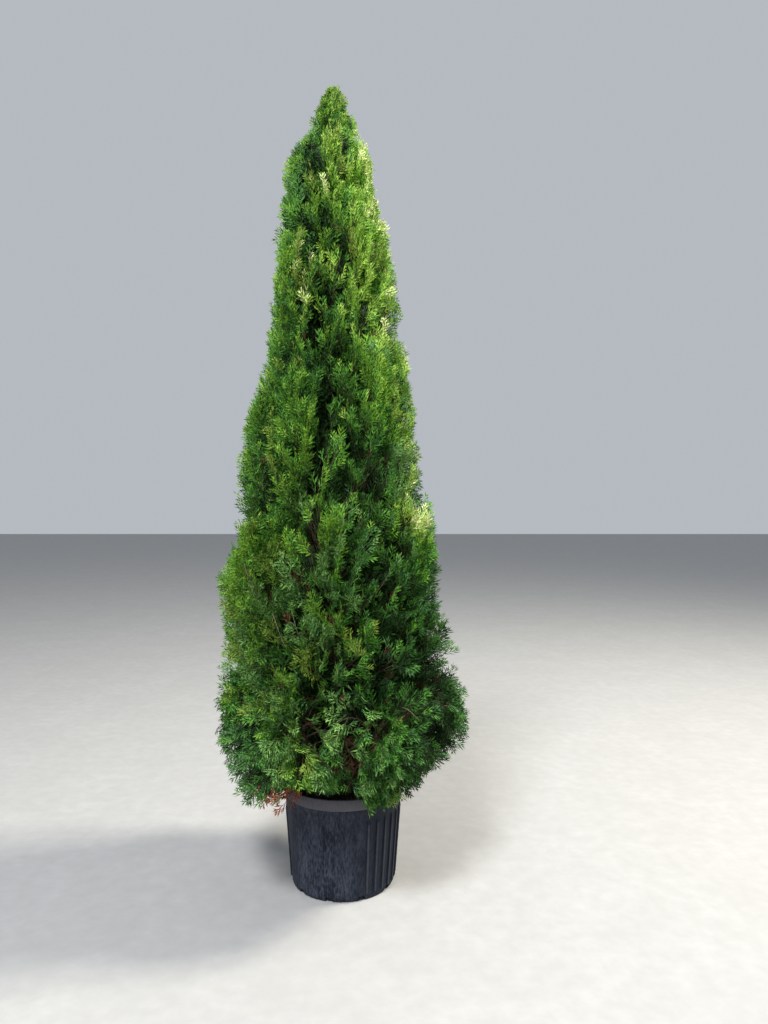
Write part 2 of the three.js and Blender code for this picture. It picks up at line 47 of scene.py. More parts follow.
eye = bpy.data.cameras.new("eye")
eye.lens = 27.04
eye.sensor_width = 36
eye.clip_end = 100
camera = bpy.data.objects.new("camera", eye)
camera.location = (0.171, -3.21, 1.60)
camera.rotation_euler = (math.radians(90 - LOOKING_DOWN), 0, 0)
bpy.context.scene.collection.objects.link(camera)
bpy.context.scene.camera = camera
bpy.context.scene.view_settings.view_transform = "Standard"


# ---- Pot ----
# A round nursery tub of black polypropylene, moulded in one piece: a deep plain rim band, a
# smooth collar under it, two panels of upright ribs on the sides, and drain notches in the
# bottom edge. Out of doors it has gathered dust, rain streaks and scuffs.

POT_HEIGHT = 0.420
RIM_RADIUS = 0.247
RIM_BAND = 0.044
RIM_STEP = 0.007
BASE_RADIUS = 0.213
BASE_EDGE = 0.014
BODY_TOP = POT_HEIGHT - RIM_BAND
BODY_TOP_RADIUS = RIM_RADIUS - RIM_STEP
POT_SLOPE = (BODY_TOP_RADIUS - BASE_RADIUS) / (BODY_TOP - BASE_EDGE)
POT_WALL = 0.004
COLLAR = 0.046  # the height of the smooth collar under the rim band
COLLAR_STEP = 0.0014
RIB_FOOT = 0.026
RIB_PROUD = 0.0055
RIB_HALF = 1.5  # half a rib's width, in degrees
RIB_SLOPE = 0.3  # the share of that half which slopes up to the rib's top
RIB_PITCH = 10.3
RIBS_A_PANEL = 8
PANELS = (-26, 154)  # where the ribbed panels have their middles, in degrees
NOTCH_FIRST, NOTCHES, NOTCH_HALF = -103, 10, 3.6
NOTCH_TOP, NOTCH_BACK = 0.021, 0.165
NOTCH_SIDE = 0.12  # how steep a notch's sides are, in degrees round the pot
COLUMN_STEP = 3.0  # the usual step between the pot's columns of points, in degrees
SHARP_FROM = math.radians(24)


def link_new(name, data):
    piece = bpy.data.objects.new(name, data)
    bpy.context.scene.collection.objects.link(piece)
    return piece


def mesh_piece(name, points, *face_sets, smooth=False):
    """A piece from an array of points and arrays of faces with three, four or more corners."""
    mesh = bpy.data.meshes.new(name)
    corners = np.concatenate([faces.ravel() for faces in face_sets]).astype(np.int32)
    sizes = np.concatenate([np.full(len(faces), faces.shape[1]) for faces in face_sets])
    starts = np.concatenate([[0], np.cumsum(sizes)[:-1]]).astype(np.int32)
    mesh.vertices.add(len(points))
    mesh.vertices.foreach_set("co", np.asarray(points, np.float32).ravel())
    mesh.loops.add(len(corners))
    mesh.loops.foreach_set("vertex_index", corners)
    mesh.polygons.add(len(starts))
    mesh.polygons.foreach_set("loop_start", starts)
    mesh.update(calc_edges=True)
    if smooth:
        mesh.shade_smooth()
    return link_new(name, mesh)


def grid_faces(rows, columns, closed=True):
    """The quads between the rows of a grid of points, joined round where it is closed."""
    row = np.arange(rows - 1)[:, None] * columns
    column = np.arange(columns if closed else columns - 1)[None, :]
    beside = (column + 1) % columns
    quads = [row + column, row + beside, row + columns + beside, row + columns + column]
    return np.stack(quads, -1).reshape(-1, 4)


def put(tree, kind, inputs=None, **settings):
    """A node in a tree. An input is given as a value, or as the socket that feeds it."""
    node = tree.nodes.new(kind)
    for name, value in settings.items():
        setattr(node, name, value)
    for name, value in (inputs or {}).items():
        if isinstance(value, bpy.types.NodeSocket):
            tree.links.new(value, node.inputs[name])
        else:
            node.inputs[name].default_value = value
    return node


def mixed(tree, share, first, second, blend="MIX"):
    """The socket of a blend of two colours."""
    inputs = {0: share, 6: first, 7: second}
    mix = put(tree, "ShaderNodeMix", inputs, data_type="RGBA", blend_type=blend)
    return mix.outputs[2]


def ranged(tree, value, low, high, to_low=0.0, to_high=1.0):
    """The socket of a value whose stretch from low to high is spread from to_low to to_high."""
    inputs = {0: value, 1: low, 2: high, 3: to_low, 4: to_high}
    return put(tree, "ShaderNodeMapRange", inputs).outputs[0]


def maths(tree, operation, first, second=0.0):
    return put(tree, "ShaderNodeMath", {0: first, 1: second}, operation=operation).outputs[0]


def noise(tree, place, scale, detail=3.0, roughness=0.55):
    inputs = {"Vector": place, "Scale": scale, "Detail": detail, "Roughness": roughness}
    return put(tree, "ShaderNodeTexNoise", inputs).outputs["Fac"]


def stretched(tree, scale):
    """The socket of a place on the piece, in metres, stretched along each axis."""
    place = put(tree, "ShaderNodeTexCoord").outputs["Object"]
    return put(tree, "ShaderNodeMapping", {"Vector": place, "Scale": scale}).outputs[0]


def effect(name, inputs, outputs=("Colour", "Height")):
    """A node group with named inputs, each with its first value, and named outputs."""
    tree = bpy.data.node_groups.new(name, "ShaderNodeTree")
    for label, value in inputs.items():
        kind = "NodeSocketColor" if isinstance(value, tuple) else "NodeSocketFloat"
        socket = tree.interface.new_socket(name=label, in_out="INPUT", socket_type=kind)
        socket.default_value = value
    for label in outputs:
        kind = "NodeSocketColor" if label == "Colour" else "NodeSocketFloat"
        tree.interface.new_socket(name=label, in_out="OUTPUT", socket_type=kind)
    return tree, tree.nodes.new("NodeGroupInput").outputs, tree.nodes.new("NodeGroupOutput").inputs


def finish_of(name, group, rough, relief=0.0, strength=1.0, specular=0.5, **values):
    """A material from an effect: its height stands out by up to a relief in metres."""
    material = bpy.data.materials.new(name)
    material.use_nodes = True
    tree = material.node_tree
    shader = tree.nodes["Principled BSDF"].inputs
    surface = put(tree, "ShaderNodeGroup", values, node_tree=group, name="surface").outputs
    tree.links.new(surface["Colour"], shader["Base Color"])
    shader["Roughness"].default_value = rough
    shader["Specular IOR Level"].default_value = specular
    if relief:
        inputs = {"Height": surface["Height"], "Distance": relief, "Strength": strength}
        tree.links.new(put(tree, "ShaderNodeBump", inputs).outputs[0], shader["Normal"])
    return material


# Dust that has caught in short upright flecks and settled in patches, light specks, fine scuffs.
# The clean plastic's blue cast is painted sky light.
weather, given, gives = effect(
    "weather",
    {
        "Clean": (0.0042, 0.0078, 0.0165, 1), "Dust": (0.2, 0.17, 0.14, 1),
        "Film": 0.1, "Flecks": 0.5,
    },
    ("Colour", "Dust", "Height"),
)
flecks = noise(weather, stretched(weather, (150, 150, 42)), 1.0, 3.0, 0.6)
runs = noise(weather, stretched(weather, (34, 34, 5)), 1.0, 3.0, 0.6)
patches = noise(weather, stretched(weather, (11, 11, 8)), 1.0, 4.0)
specks = noise(weather, stretched(weather, (330, 330, 330)), 1.0, 2.0)
caught = maths(weather, "ADD", flecks, maths(weather, "MULTIPLY", runs, 0.5))
caught = maths(weather, "ADD", caught, maths(weather, "MULTIPLY", patches, 0.5))
caught = maths(weather, "MULTIPLY", ranged(weather, caught, 0.86, 1.26), given["Flecks"])
# The dust thins out towards the right-hand side (+x), so the pot is darker there.
sides = put(weather, "ShaderNodeSeparateXYZ", {0: stretched(weather, (1, 1, 1))}).outputs[0]
caught = maths(weather, "MULTIPLY", caught, ranged(weather, sides, -0.04, 0.14, 1.0, 0.14))
dusty = maths(weather, "ADD", caught, ranged(weather, specks, 0.63, 0.74, 0, 0.6))
dusty = maths(weather, "ADD", dusty, given["Film"])
dusty = maths(weather, "MINIMUM", dusty, 1.0)
weather.links.new(mixed(weather, dusty, given["Clean"], given["Dust"]), gives["Colour"])
weather.links.new(dusty, gives["Dust"])
weather.links.new(maths(weather, "ADD", flecks, specks), gives["Height"])


def plastic_of(name, dust, film, flecks, rough):
    """Black plastic with dust of one colour on it: a film all over, and flecks here and there."""
    plastic = finish_of(
        name, weather, rough, relief=0.0007, strength=0.5, specular=0.16,
        Dust=dust, Film=film, Flecks=flecks,
    )
    tree = plastic.node_tree
    dull = ranged(tree, tree.nodes["surface"].outputs["Dust"], 0, 0.8, rough, 0.9)
    tree.links.new(dull, tree.nodes["Principled BSDF"].inputs["Roughness"])
    return plastic


# The wall's dust is real, but its bluish cast is painted sky light on the shaded pot.
wall_plastic = plastic_of("black_plastic", (0.086, 0.096, 0.130, 1), 0.03, 0.85, 0.55)
rim_plastic = plastic_of("rim_plastic", (0.158, 0.151, 0.172, 1), 0.62, 0.2, 0.62)
# The rib tops take a paler, dustier copy of the plastic: dust flecks with a painted highlight along
# the ridges.
rib_plastic_painted_highlight = plastic_of("rib_plastic_painted_highlight", (0.112, 0.112, 0.126, 1), 0.22, 1.0, 0.6)

rib_middles = [
    panel + RIB_PITCH * (n - (RIBS_A_PANEL - 1) / 2)
    for panel in PANELS
    for n in range(RIBS_A_PANEL)
]
notch_middles = [NOTCH_FIRST + 360 * n / NOTCHES for n in range(NOTCHES)]
turns = set(np.arange(-180, 180, COLUMN_STEP))
for middle in rib_middles:
    turns |= {middle + part * RIB_HALF for part in (-1, RIB_SLOPE - 1, 1 - RIB_SLOPE, 1)}
for middle in notch_middles:
    turns |= {middle + side * (NOTCH_HALF + step) for side in (-1, 1) for step in (0.0, NOTCH_SIDE)}
turns = np.array(sorted({round((turn + 180) % 360 - 180, 3) for turn in turns}))


def turn_from(middles):
    """How far each column of the pot stands from the nearest of some middles, in degrees."""
    apart = (turns[:, None] - np.array(middles)[None, :] + 180) % 360 - 180
    return np.abs(apart).min(1)


def body_radius(z):
    return BASE_RADIUS + POT_SLOPE * (z - BASE_EDGE)


def about_middle(radius, angle, level):
    """Points at a distance and a direction from the pot's middle, and at a height."""
    places = np.broadcast_arrays(radius * np.cos(angle), radius * np.sin(angle), level)
    return np.stack(places, -1)


collar_foot = BODY_TOP - COLLAR
on_rib = np.clip((RIB_HALF - turn_from(rib_middles)) / (RIB_SLOPE * RIB_HALF), 0, 1)
in_notch = turn_from(notch_middles) < NOTCH_HALF + NOTCH_SIDE / 2
pot_rows = [  # outer radius, height, share of a rib's relief
    (0.0, 0.0, 0), (0.12, 0.0, 0), (NOTCH_BACK, 0.0, 0), (BASE_RADIUS - 0.0042, 0.0042, 0),
    (BASE_RADIUS - 0.0015, 0.009, 0), (BASE_RADIUS, BASE_EDGE, 0),
    *((body_radius(z), z, relief) for z, relief in (
        (NOTCH_TOP, 0), (RIB_FOOT, 0), (RIB_FOOT + 0.003, 1), (0.11, 1), (0.2, 1),
        (collar_foot - 0.020, 1), (collar_foot - 0.001, 0.25),
    )),
    (body_radius(collar_foot) + COLLAR_STEP, collar_foot + 0.0006, 0),
    (body_radius(BODY_TOP - 0.024) + COLLAR_STEP, BODY_TOP - 0.024, 0),
    (BODY_TOP_RADIUS + COLLAR_STEP, BODY_TOP - 0.001, 0),
    (RIM_RADIUS - 0.0022, BODY_TOP + 0.0005, 0),
    (RIM_RADIUS - 0.001, BODY_TOP + 0.003, 0),
    *((RIM_RADIUS - inset, POT_HEIGHT - drop, 0) for inset, drop in (
        (0, 0.02), (0.0002, 0.005), (0.0015, 0.0015), (0.004, 0), (0.0085, 0.0004), (0.0095, 0.002),
    )),
    (BODY_TOP_RADIUS - POT_WALL, BODY_TOP - 0.006, 0), (body_radius(0.028) - POT_WALL, 0.028, 0),
    (BASE_RADIUS - BASE_EDGE, 0.005, 0), (0.0, 0.005, 0),
]
pot_radius = np.array([[row[0] + RIB_PROUD * row[2] * on for on in on_rib] for row in pot_rows])
pot_level = np.array([[row[1]] * len(turns) for row in pot_rows])
notch_middle = 0.5 * (NOTCH_BACK + BASE_RADIUS)
for row, out in ((3, NOTCH_BACK), (4, notch_middle), (5, BASE_RADIUS - 0.0005)):
    pot_radius[row, in_notch], pot_level[row, in_notch] = out, NOTCH_TOP - 0.0001 * (6 - row)
pot_points = about_middle(pot_radius, np.radians(turns), pot_level).reshape(-1, 3)
pot = mesh_piece("pot_shell", pot_points, grid_faces(len(pot_rows), len(turns)))
pot.data.shade_smooth()
pot.data.set_sharp_from_angle(angle=SHARP_FROM)
for plastic in (wall_plastic, rim_plastic, rib_plastic_painted_highlight):
    pot.data.materials.append(plastic)
for face in pot.data.polygons:
    out, z = math.hypot(*face.center[:2]), face.center.z
    in_band = BODY_TOP < z < POT_HEIGHT and out > RIM_RADIUS - 0.008
    # Faces on the rib tops take the paler plastic: a painted highlight along the ridges.
    on_top = RIB_FOOT < z < collar_foot and out > body_radius(z) + 0.8 * RIB_PROUD
    face.material_index = 1 if in_band else 2 if on_top else 0
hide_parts("pot")
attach(pot, "root")


# ---- Potting soil ----
# Moist peat and composted bark, watered down to a little below the rim and heaped at the trunk,
# with loose crumbs and chips on it.

SOIL_EDGE = 0.380
SOIL_TOP = 0.395
SOIL_FOOT = 0.300  # how far down the pot's wall the soil's skin runs
SOIL_FLAT = 0.062  # the radius of the level place round the trunk
FROM_WALL = 0.0005
SOIL_ROWS, SOIL_COLUMNS, CRUMBS, WAVES = 34, 120, 900, 14
soil_draw = np.random.default_rng(11)

# Light and dark grains, as in a loose mix.
grains, given, gives = effect(
    "grains",
    {"Dark": (0.01, 0.008, 0.006, 1), "Light": (0.06, 0.04, 0.03, 1), "Scale": 60.0},
)
place = stretched(grains, (1, 1, 1))
coarse = noise(grains, place, given["Scale"], 6.0, 0.7)
fine = noise(grains, place, maths(grains, "MULTIPLY", given["Scale"], 5.0), 3.0)
share = ranged(grains, maths(grains, "MULTIPLY", coarse, fine), 0.16, 0.42)
grains.links.new(mixed(grains, share, given["Dark"], given["Light"]), gives["Colour"])
grains.links.new(coarse, gives["Height"])

peat = finish_of(
    "peat_and_bark_compost", grains, rough=0.93, relief=0.004,
    Dark=(0.012, 0.008, 0.005, 1), Light=(0.085, 0.052, 0.032, 1), Scale=70.0,
)

outer = body_radius(BODY_TOP - 0.008) - POT_WALL - FROM_WALL


def soil_heap(radius):
    """The share of the soil's rise to the trunk that it has at a distance from the middle."""
    return np.clip((outer - radius) / (outer - SOIL_FLAT), 0, 1)


spread = np.linspace(0.0, 1.0, SOIL_ROWS) ** 0.8 * outer
angles = np.linspace(0, 2 * np.pi, SOIL_COLUMNS, endpoint=False)
radius, angle = np.meshgrid(spread, angles, indexing="ij")
lumps = sum(
    np.sin(radius * a + angle * b + c) * d
    for a, b, c, d in zip(
        soil_draw.uniform(30, 260, WAVES), soil_draw.integers(1, 26, WAVES),
        soil_draw.uniform(0, 6, WAVES), soil_draw.uniform(0.0004, 0.0012, WAVES),
    )
)
level = SOIL_EDGE + (SOIL_TOP - SOIL_EDGE) * soil_heap(radius) + lumps * (radius > 0.03) - 0.001
top_points = about_middle(radius, angle, level).reshape(-1, 3)
foot_points = about_middle(body_radius(SOIL_FOOT) - POT_WALL - FROM_WALL, angles, SOIL_FOOT)
soil_points = np.concatenate([top_points, foot_points])
crumb = np.array([[1, 0, 0], [-1, 0, 0], [0, 1, 0], [0, -1, 0], [0, 0, 1], [0, 0, -1]])
crumb_faces = np.array([
    [0, 2, 4], [2, 1, 4], [1, 3, 4], [3, 0, 4], [2, 0, 5], [1, 2, 5], [3, 1, 5], [0, 3, 5],
])
crumb_radius = np.sqrt(soil_draw.uniform(0.05, 0.98, CRUMBS)) * outer * 0.985
crumb_angle = soil_draw.uniform(0, 2 * np.pi, CRUMBS)
crumb_level = SOIL_EDGE + (SOIL_TOP - SOIL_EDGE) * soil_heap(crumb_radius) + 0.001
crumb_at = about_middle(crumb_radius, crumb_angle, crumb_level)
crumb_size = soil_draw.uniform(0.0015, 0.006, (CRUMBS, 1, 3))
crumb_size = crumb_size * soil_draw.uniform(0.6, 1.3, (CRUMBS, len(crumb), 1))
crumb_points = crumb_at[:, None] + crumb[None] * crumb_size
soil_faces = grid_faces(SOIL_ROWS + 1, SOIL_COLUMNS)
all_crumbs = crumb_faces[None] + len(crumb) * np.arange(CRUMBS)[:, None, None] + len(soil_points)
soil = mesh_piece(
    "potting_mix", np.concatenate([soil_points, crumb_points.reshape(-1, 3)]),
    soil_faces, all_crumbs.reshape(-1, 3),
)
soil.data.materials.append(peat)
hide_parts("potting_soil")
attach(soil, "root")


# ---- Trunk ----
# One upright stem with a root flare, leaning a little to the left on its way up. Its thin
# red-brown bark weathers grey and parts into long upright strips.

TOTAL_HEIGHT = 3.307
TRUNK_FOOT = 0.3953
TRUNK_TIP = 2.850
TRUNK_RADIUS, TRUNK_TIP_RADIUS, TRUNK_TAPER = 0.027, 0.006, 0.9
TRUNK_SIDES, TRUNK_RINGS = 56, 260
FLARE, FLARE_HEIGHT = 0.021, 0.060
ROOT_LOBES, LOBE_DEPTH, LOBE_TURN, LOBE_HEIGHT = 5, 0.16, 0.6, 0.15
LEAN, LEAN_FROM, LEAN_TO = 0.046, 0.4, 1.35
SWAY, SWAY_TURN = 0.012, 4.2
CROWN_HALF_WIDTH, CROWN_WIDEST = 0.515, 0.640
CROWN_TUCK, CROWN_POINT = 0.3, 0.57
UP = np.array([0.0, 0.0, 1.0])


def smooth(low, high, value):
    share = np.clip((value - low) / (high - low), 0, 1)
    return share * share * (3 - 2 * share)


def middle_at(z):
    """The middle of the plant at each height: the trunk's line, carried on up to the tip."""
    z = np.asarray(z, float)
    height = (z - TRUNK_FOOT) / (TOTAL_HEIGHT - TRUNK_FOOT)
    lean = -LEAN * smooth(LEAN_FROM, LEAN_TO, z)
    return np.stack([lean, SWAY * np.sin(SWAY_TURN * height), z], -1)


def trunk_radius(z):
    height = np.clip((z - TRUNK_FOOT) / (TRUNK_TIP - TRUNK_FOOT), 0, 1)
    flare = FLARE * np.exp(-(z - TRUNK_FOOT) / FLARE_HEIGHT)
    return TRUNK_RADIUS + (TRUNK_TIP_RADIUS - TRUNK_RADIUS) * height**TRUNK_TAPER + flare


def crown_reach(z):
    """How far the crown reaches out from its middle: a narrow ogive that tucks in over the pot."""
    z = np.asarray(z, float)
    down = np.maximum(0, CROWN_WIDEST - z) / (CROWN_WIDEST - POT_HEIGHT)
    up = np.clip((z - CROWN_WIDEST) / (TOTAL_HEIGHT - CROWN_WIDEST), 0, 1)
    tuck = CROWN_TUCK * np.minimum(down, 1.4) ** 2
    return CROWN_HALF_WIDTH * (1 - tuck) * (1 - up) ** CROWN_POINT


def unit(vectors):
    return vectors / np.maximum(np.linalg.norm(vectors, axis=-1, keepdims=True), 1e-9)


def limb_mesh(centres, radii, sides, relief=0.0):
    """The points and faces of tapering limbs: centres is limbs by rings by 3."""
    limbs, rings, _ = centres.shape
    along = unit(np.gradient(centres, axis=1))
    level = np.stack([-along[..., 1], along[..., 0], np.zeros(along.shape[:2])], -1)
    level = unit(np.where(np.abs(along[..., 2:]) > 0.9999, np.array([1.0, 0, 0]), level))
    upright = np.cross(along, level)
    angles = np.linspace(0, 2 * np.pi, sides, endpoint=False)
    reach = (radii[..., None] + relief)[..., None]
    ring = level[..., None, :] * np.cos(angles)[:, None]
    ring = ring + upright[..., None, :] * np.sin(angles)[:, None]
    points = (centres[..., None, :] + ring * reach).reshape(-1, 3)
    starts = np.arange(limbs)[:, None, None] * rings * sides
    walls = (grid_faces(rings, sides)[None] + starts).reshape(-1, 4)
    feet = np.arange(sides)[::-1][None] + starts[:, 0]
    tips = np.arange(sides)[None] + starts[:, 0] + (rings - 1) * sides
    return points, walls, np.concatenate([feet, tips])


# Bark that parts into long strips: red-brown where it is fresh, grey where it is weathered.
strips, given, gives = effect(
    "bark_strips",
    {
        "Deep": (0.03, 0.015, 0.01, 1), "Fresh": (0.2, 0.09, 0.05, 1),
        "Weathered": (0.25, 0.2, 0.17, 1), "Fineness": 1.0,
    },
)
strands = noise(strips, stretched(strips, (150, 150, 9)), given["Fineness"], 6.0, 0.65)
flakes = noise(strips, stretched(strips, (60, 60, 18)), given["Fineness"], 4.0)
colour = mixed(strips, ranged(strips, strands, 0.38, 0.6), given["Deep"], given["Fresh"])
colour = mixed(strips, ranged(strips, flakes, 0.46, 0.66), colour, given["Weathered"])
strips.links.new(colour, gives["Colour"])
strips.links.new(maths(strips, "ADD", strands, flakes), gives["Height"])


def bark_of(name, deep, fresh, weathered, fineness, rough, relief):
    """A finish of stringy bark, whose strips stand out by up to a relief in metres."""
    return finish_of(
        name, strips, rough, relief, Deep=(*deep, 1), Fresh=(*fresh, 1),
        Weathered=(*weathered, 1), Fineness=fineness,
    )


bark = bark_of(
    "stringy_bark", (0.035, 0.016, 0.010), (0.22, 0.095, 0.05), (0.24, 0.18, 0.145),
    fineness=1.0, rough=0.86, relief=0.002,
)

ring_height = TRUNK_FOOT + (TRUNK_TIP - TRUNK_FOOT) * np.linspace(0, 1, TRUNK_RINGS) ** 1.3
side = np.linspace(0, 2 * np.pi, TRUNK_SIDES, endpoint=False)[None, :]
rise = ring_height[:, None]
lobes = LOBE_DEPTH * (1 - smooth(TRUNK_FOOT, TRUNK_FOOT + LOBE_HEIGHT, rise))
lobes = lobes * np.cos(ROOT_LOBES * side + LOBE_TURN)
# Waves round and up the trunk: coarse strips, fine strips, and knots where they cross.
strip_relief = 0.0011 * np.sin(11 * side + 2.6 * np.sin(3.1 * rise) + 1.2 * np.sin(17 * rise))
strip_relief += 0.0008 * np.sin(23 * side - 3.4 * np.sin(2.2 * rise + 1) + 0.9 * np.sin(31 * rise))
knots = 0.0012 * np.sin(3 * side + 9 * rise) * np.sin(21 * rise + 2 * side)
trunk_relief = (strip_relief + knots) * (trunk_radius(rise) / TRUNK_RADIUS)
trunk_relief = trunk_radius(rise) * lobes + trunk_relief
limb = limb_mesh(
    middle_at(ring_height)[None], trunk_radius(ring_height)[None], TRUNK_SIDES, trunk_relief[None]
)
trunk = mesh_piece("stringy_trunk", *limb, smooth=True)
trunk.data.materials.append(bark)
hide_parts("trunk")
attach(trunk, "root")


# ---- Boughs ----
# Tiers of boughs leave the trunk and turn upwards, and each runs on through the middle of one
# plume to its tip, thinning as it goes. The bark is the trunk's, smoother on the younger wood.

TIER_NAMES = ("skirt", "lower", "middle", "upper", "shoulder", "leader")


def by_tier(*values):
    """A table with a value for each tier of plumes, from the crown's foot to its tip."""
    return dict(zip(TIER_NAMES, values))


CLEARANCE = 0.0003
BOUGH_RADIUS = by_tier(0.012, 0.015, 0.013, 0.010, 0.007, TRUNK_TIP_RADIUS)
BOUGH_TIP_SHARE = 0.55
BOUGH_BEND = 0.45  # how sharply a bough turns up into its plume
BOUGH_THINNING = 0.85  # how much of its radius it loses from there to the plume's tip
BOUGH_RINGS, BOUGH_SIDES = 34, 14
LEADER_FOOT = 0.02  # how far the leader's stem reaches down into the trunk's tip
TIERS = [  # name, plumes, heights of joint, foot and tip, tilt to the right, first direction
    ("skirt", 6, 0.440, 0.525, 0.750, -0.030, -59),
    ("lower", 6, 0.560, 0.730, 1.400, 0.030, -85),
    ("middle", 6, 1.000, 1.220, 1.980, 0.085, -115),
    ("upper", 5, 1.600, 1.790, 2.590, 0.110, -56),
    ("shoulder", 4, 2.220, 2.330, 2.960, -0.025, -95),
]
FOOT_SHARE = by_tier(0.4, 0.36, 0.36, 0.36, 0.3)  # how far out plumes start and end
TIP_SHARE = by_tier(0.67, 0.8, 0.78, 0.83, 0.86)
PLUME_DEPTH = by_tier(0.165, 0.188, 0.168, 0.122, 0.098, 0.088)
WIDTH_SHARE, JITTER, TURN_JITTER, STAGGER = 1.05, 0.026, 0.18, 0.023
LEADER_SPRAY = 0.140
WORD = 0xFFFFFFFF
SEED = {"tier": 100, "plume": 1000, "leader": 9000}  # the solids' own


def seeded(seed):
    """A seeded stream of numbers from 0 to 1, the same that places the plumes of the solids."""
    state = seed & WORD

    def draw():
        nonlocal state
        state = (state + 0x6D2B79F5) & WORD
        t = ((state ^ (state >> 15)) * (1 | state)) & WORD
        t = (((t + (((t ^ (t >> 7)) * (61 | t)) & WORD)) & WORD) ^ t) & WORD
        return ((t ^ (t >> 14)) & WORD) / 4294967296

    return draw


def plumes_of(index, tier):
    name, count, joint, foot, tip, tilt, phase = tier
    draw = seeded(SEED["tier"] + index)
    step = 2 * math.pi / count
    for n in range(count):
        azimuth = math.radians(phase) + step * (n + TURN_JITTER * (draw() - 0.5))
        way = np.array([math.cos(azimuth), math.sin(azimuth), 0.0])
        tip_height = tip + tilt * way[0] + JITTER * (2 * draw() - 1)
        foot_height = foot + JITTER * (2 * draw() - 1)
        half_step = math.sin(step / 2) * crown_reach((foot_height + tip_height) / 2)
        yield {
            "name": f"{name}_{n + 1}",
            "tier": name,
            "way": way,
            "joint": joint + STAGGER * ((2 * n) % count),
            "foot": middle_at(foot_height) + way * FOOT_SHARE[name] * crown_reach(foot_height),
            "tip": middle_at(tip_height) + way * TIP_SHARE[name] * crown_reach(tip_height),
            "width": WIDTH_SHARE * half_step,
            "depth": PLUME_DEPTH[name],
            "seed": SEED["plume"] * (index + 1) + n,
        }


plumes = [plume for index, tier in enumerate(TIERS) for plume in plumes_of(index, tier)]
plumes.append(
    {
        "name": "leader", "tier": "leader", "way": np.array([0.0, -1.0, 0.0]), "joint": TRUNK_TIP,
        "foot": middle_at(TRUNK_TIP + CLEARANCE), "tip": middle_at(TOTAL_HEIGHT - LEADER_SPRAY / 2),
        "width": PLUME_DEPTH["leader"], "depth": PLUME_DEPTH["leader"], "seed": SEED["leader"],
    }
)

bough_bark = bark_of(
    "bough_bark", (0.022, 0.011, 0.007), (0.090, 0.040, 0.024), (0.080, 0.060, 0.046),
    fineness=1.3, rough=0.86, relief=0.0012,
)

half = BOUGH_RINGS // 2  # the rings on the bough itself, and those on through the plume
thin = np.linspace(0, 1, half)
t = thin[:, None]
onwards = np.linspace(0, 1, half + 1)[1:, None]
bough_lines, bough_radii = [], []
for plume in plumes:
    start, foot, tip = middle_at(plume["joint"]), plume["foot"], plume["tip"]
    along, across = unit(tip - foot), np.array([-plume["way"][1], plume["way"][0], 0.0])
    plume.update(along=along, across=across, out=unit(np.cross(across, along)))
    bend = foot - BOUGH_BEND * along * np.linalg.norm(foot - start)
    low = (1 - t) ** 2 * start + 2 * t * (1 - t) * bend + t**2 * foot
    foot_radius = BOUGH_RADIUS[plume["tier"]]
    tip_radius = foot_radius * BOUGH_TIP_SHARE
    if plume["tier"] == "leader":
        low, tip_radius = foot - UP * LEADER_FOOT * (1 - t), foot_radius
    high = foot + (tip - foot) * onwards
    low_radii = foot_radius + (tip_radius - foot_radius) * thin
    high_radii = tip_radius * (1 - BOUGH_THINNING * thin)
    bough_lines.append(np.concatenate([low, high]))
    bough_radii.append(np.concatenate([low_radii, high_radii]))
bough_lines, bough_radii = np.array(bough_lines), np.array(bough_radii)
turn = np.linspace(0, 2 * np.pi, BOUGH_SIDES, endpoint=False)[None, None, :]
ring = np.arange(BOUGH_RINGS)[None, :, None]
own = np.arange(len(plumes))[:, None, None]
bough_relief = 0.09 * np.sin(4 * turn + 0.5 * ring + own)
bough_relief += 0.07 * np.sin(5 * turn - 0.9 * ring + 2 * own)
bough_relief = bough_relief * bough_radii[..., None]
limbs = limb_mesh(bough_lines, bough_radii, BOUGH_SIDES, bough_relief)
boughs = mesh_piece("stringy_boughs", *limbs, smooth=True)
boughs.data.materials.append(bough_bark)
own_bough = [plume["name"] for plume in plumes if plume["tier"] not in ("shoulder", "leader")]
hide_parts(*[f"bough_{name}" for name in own_bough])
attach(boughs, "root")


# ---- Twigs ----
# Fine brown twigs leave each stem by the golden angle, lean forwards more towards its tip, and
# curve up into the light, or hang at the crown's foot. Others leave the trunk itself and fill
# the crown from inside. Each forks into twiglets on both hands, in a plane that stands upright.

GOLDEN_ANGLE = math.radians(137.508)
CROWDING = 0.35  # how much twigs crowd to the side that is turned away from the trunk
FLAME_FROM, FLAME_SPAN, FLAME_BLUNTNESS = 0.16, 0.76, 0.6  # a plume's outline, along a sine
TWIG_STRAY = 0.4  # of the step from one twig to the next
TWIG_LEAN, TWIG_STRAIGHTENING, LEAN_STRAY = 78, 54, 16  # degrees from the stem
TWIGS = by_tier(41, 48, 38, 32, 28, 40)
TRUNK_TWIGS, TRUNK_TWIGS_FROM = 480, 0.47
TRUNK_TIERS = (0.62, 1.2, 1.85)  # where the twigs on the trunk pass to the next tier
INNER_SHARE = 0.66  # of the crown's reach: shorter ones on the trunk stay inside it
LEADER_BREADTH = 1.5
TWIG_RINGS, TWIG_SIDES = 5, 4
TWIG_RADIUS, TWIG_STOUTNESS, TWIG_THINNING = 0.0008, 0.0085, 0.72
TWIGLETS, TWIGLET_RINGS, TWIGLET_SIDES = 8, 3, 3
TWIGLET_RADIUS, TWIGLET_THINNING = 0.0011, 0.6
TWIGLET_LENGTH = by_tier(0.105, 0.100, 0.092, 0.084, 0.074, 0.060)
RISE = by_tier(-0.42, 0.16, 0.40, 0.50, 0.52, 0.42)  # how far twigs curve up, by their length
TWIG_MARGIN, TWIGLET_MARGIN = 0.075, 0.035  # what their tips leave free inside the crown's edge
TIP_ROOM = 0.02
WAIST, WAIST_HALF, WAIST_GROWTH = 0.96, 0.13, 1.35  # where twigs run on longer, over the skirt
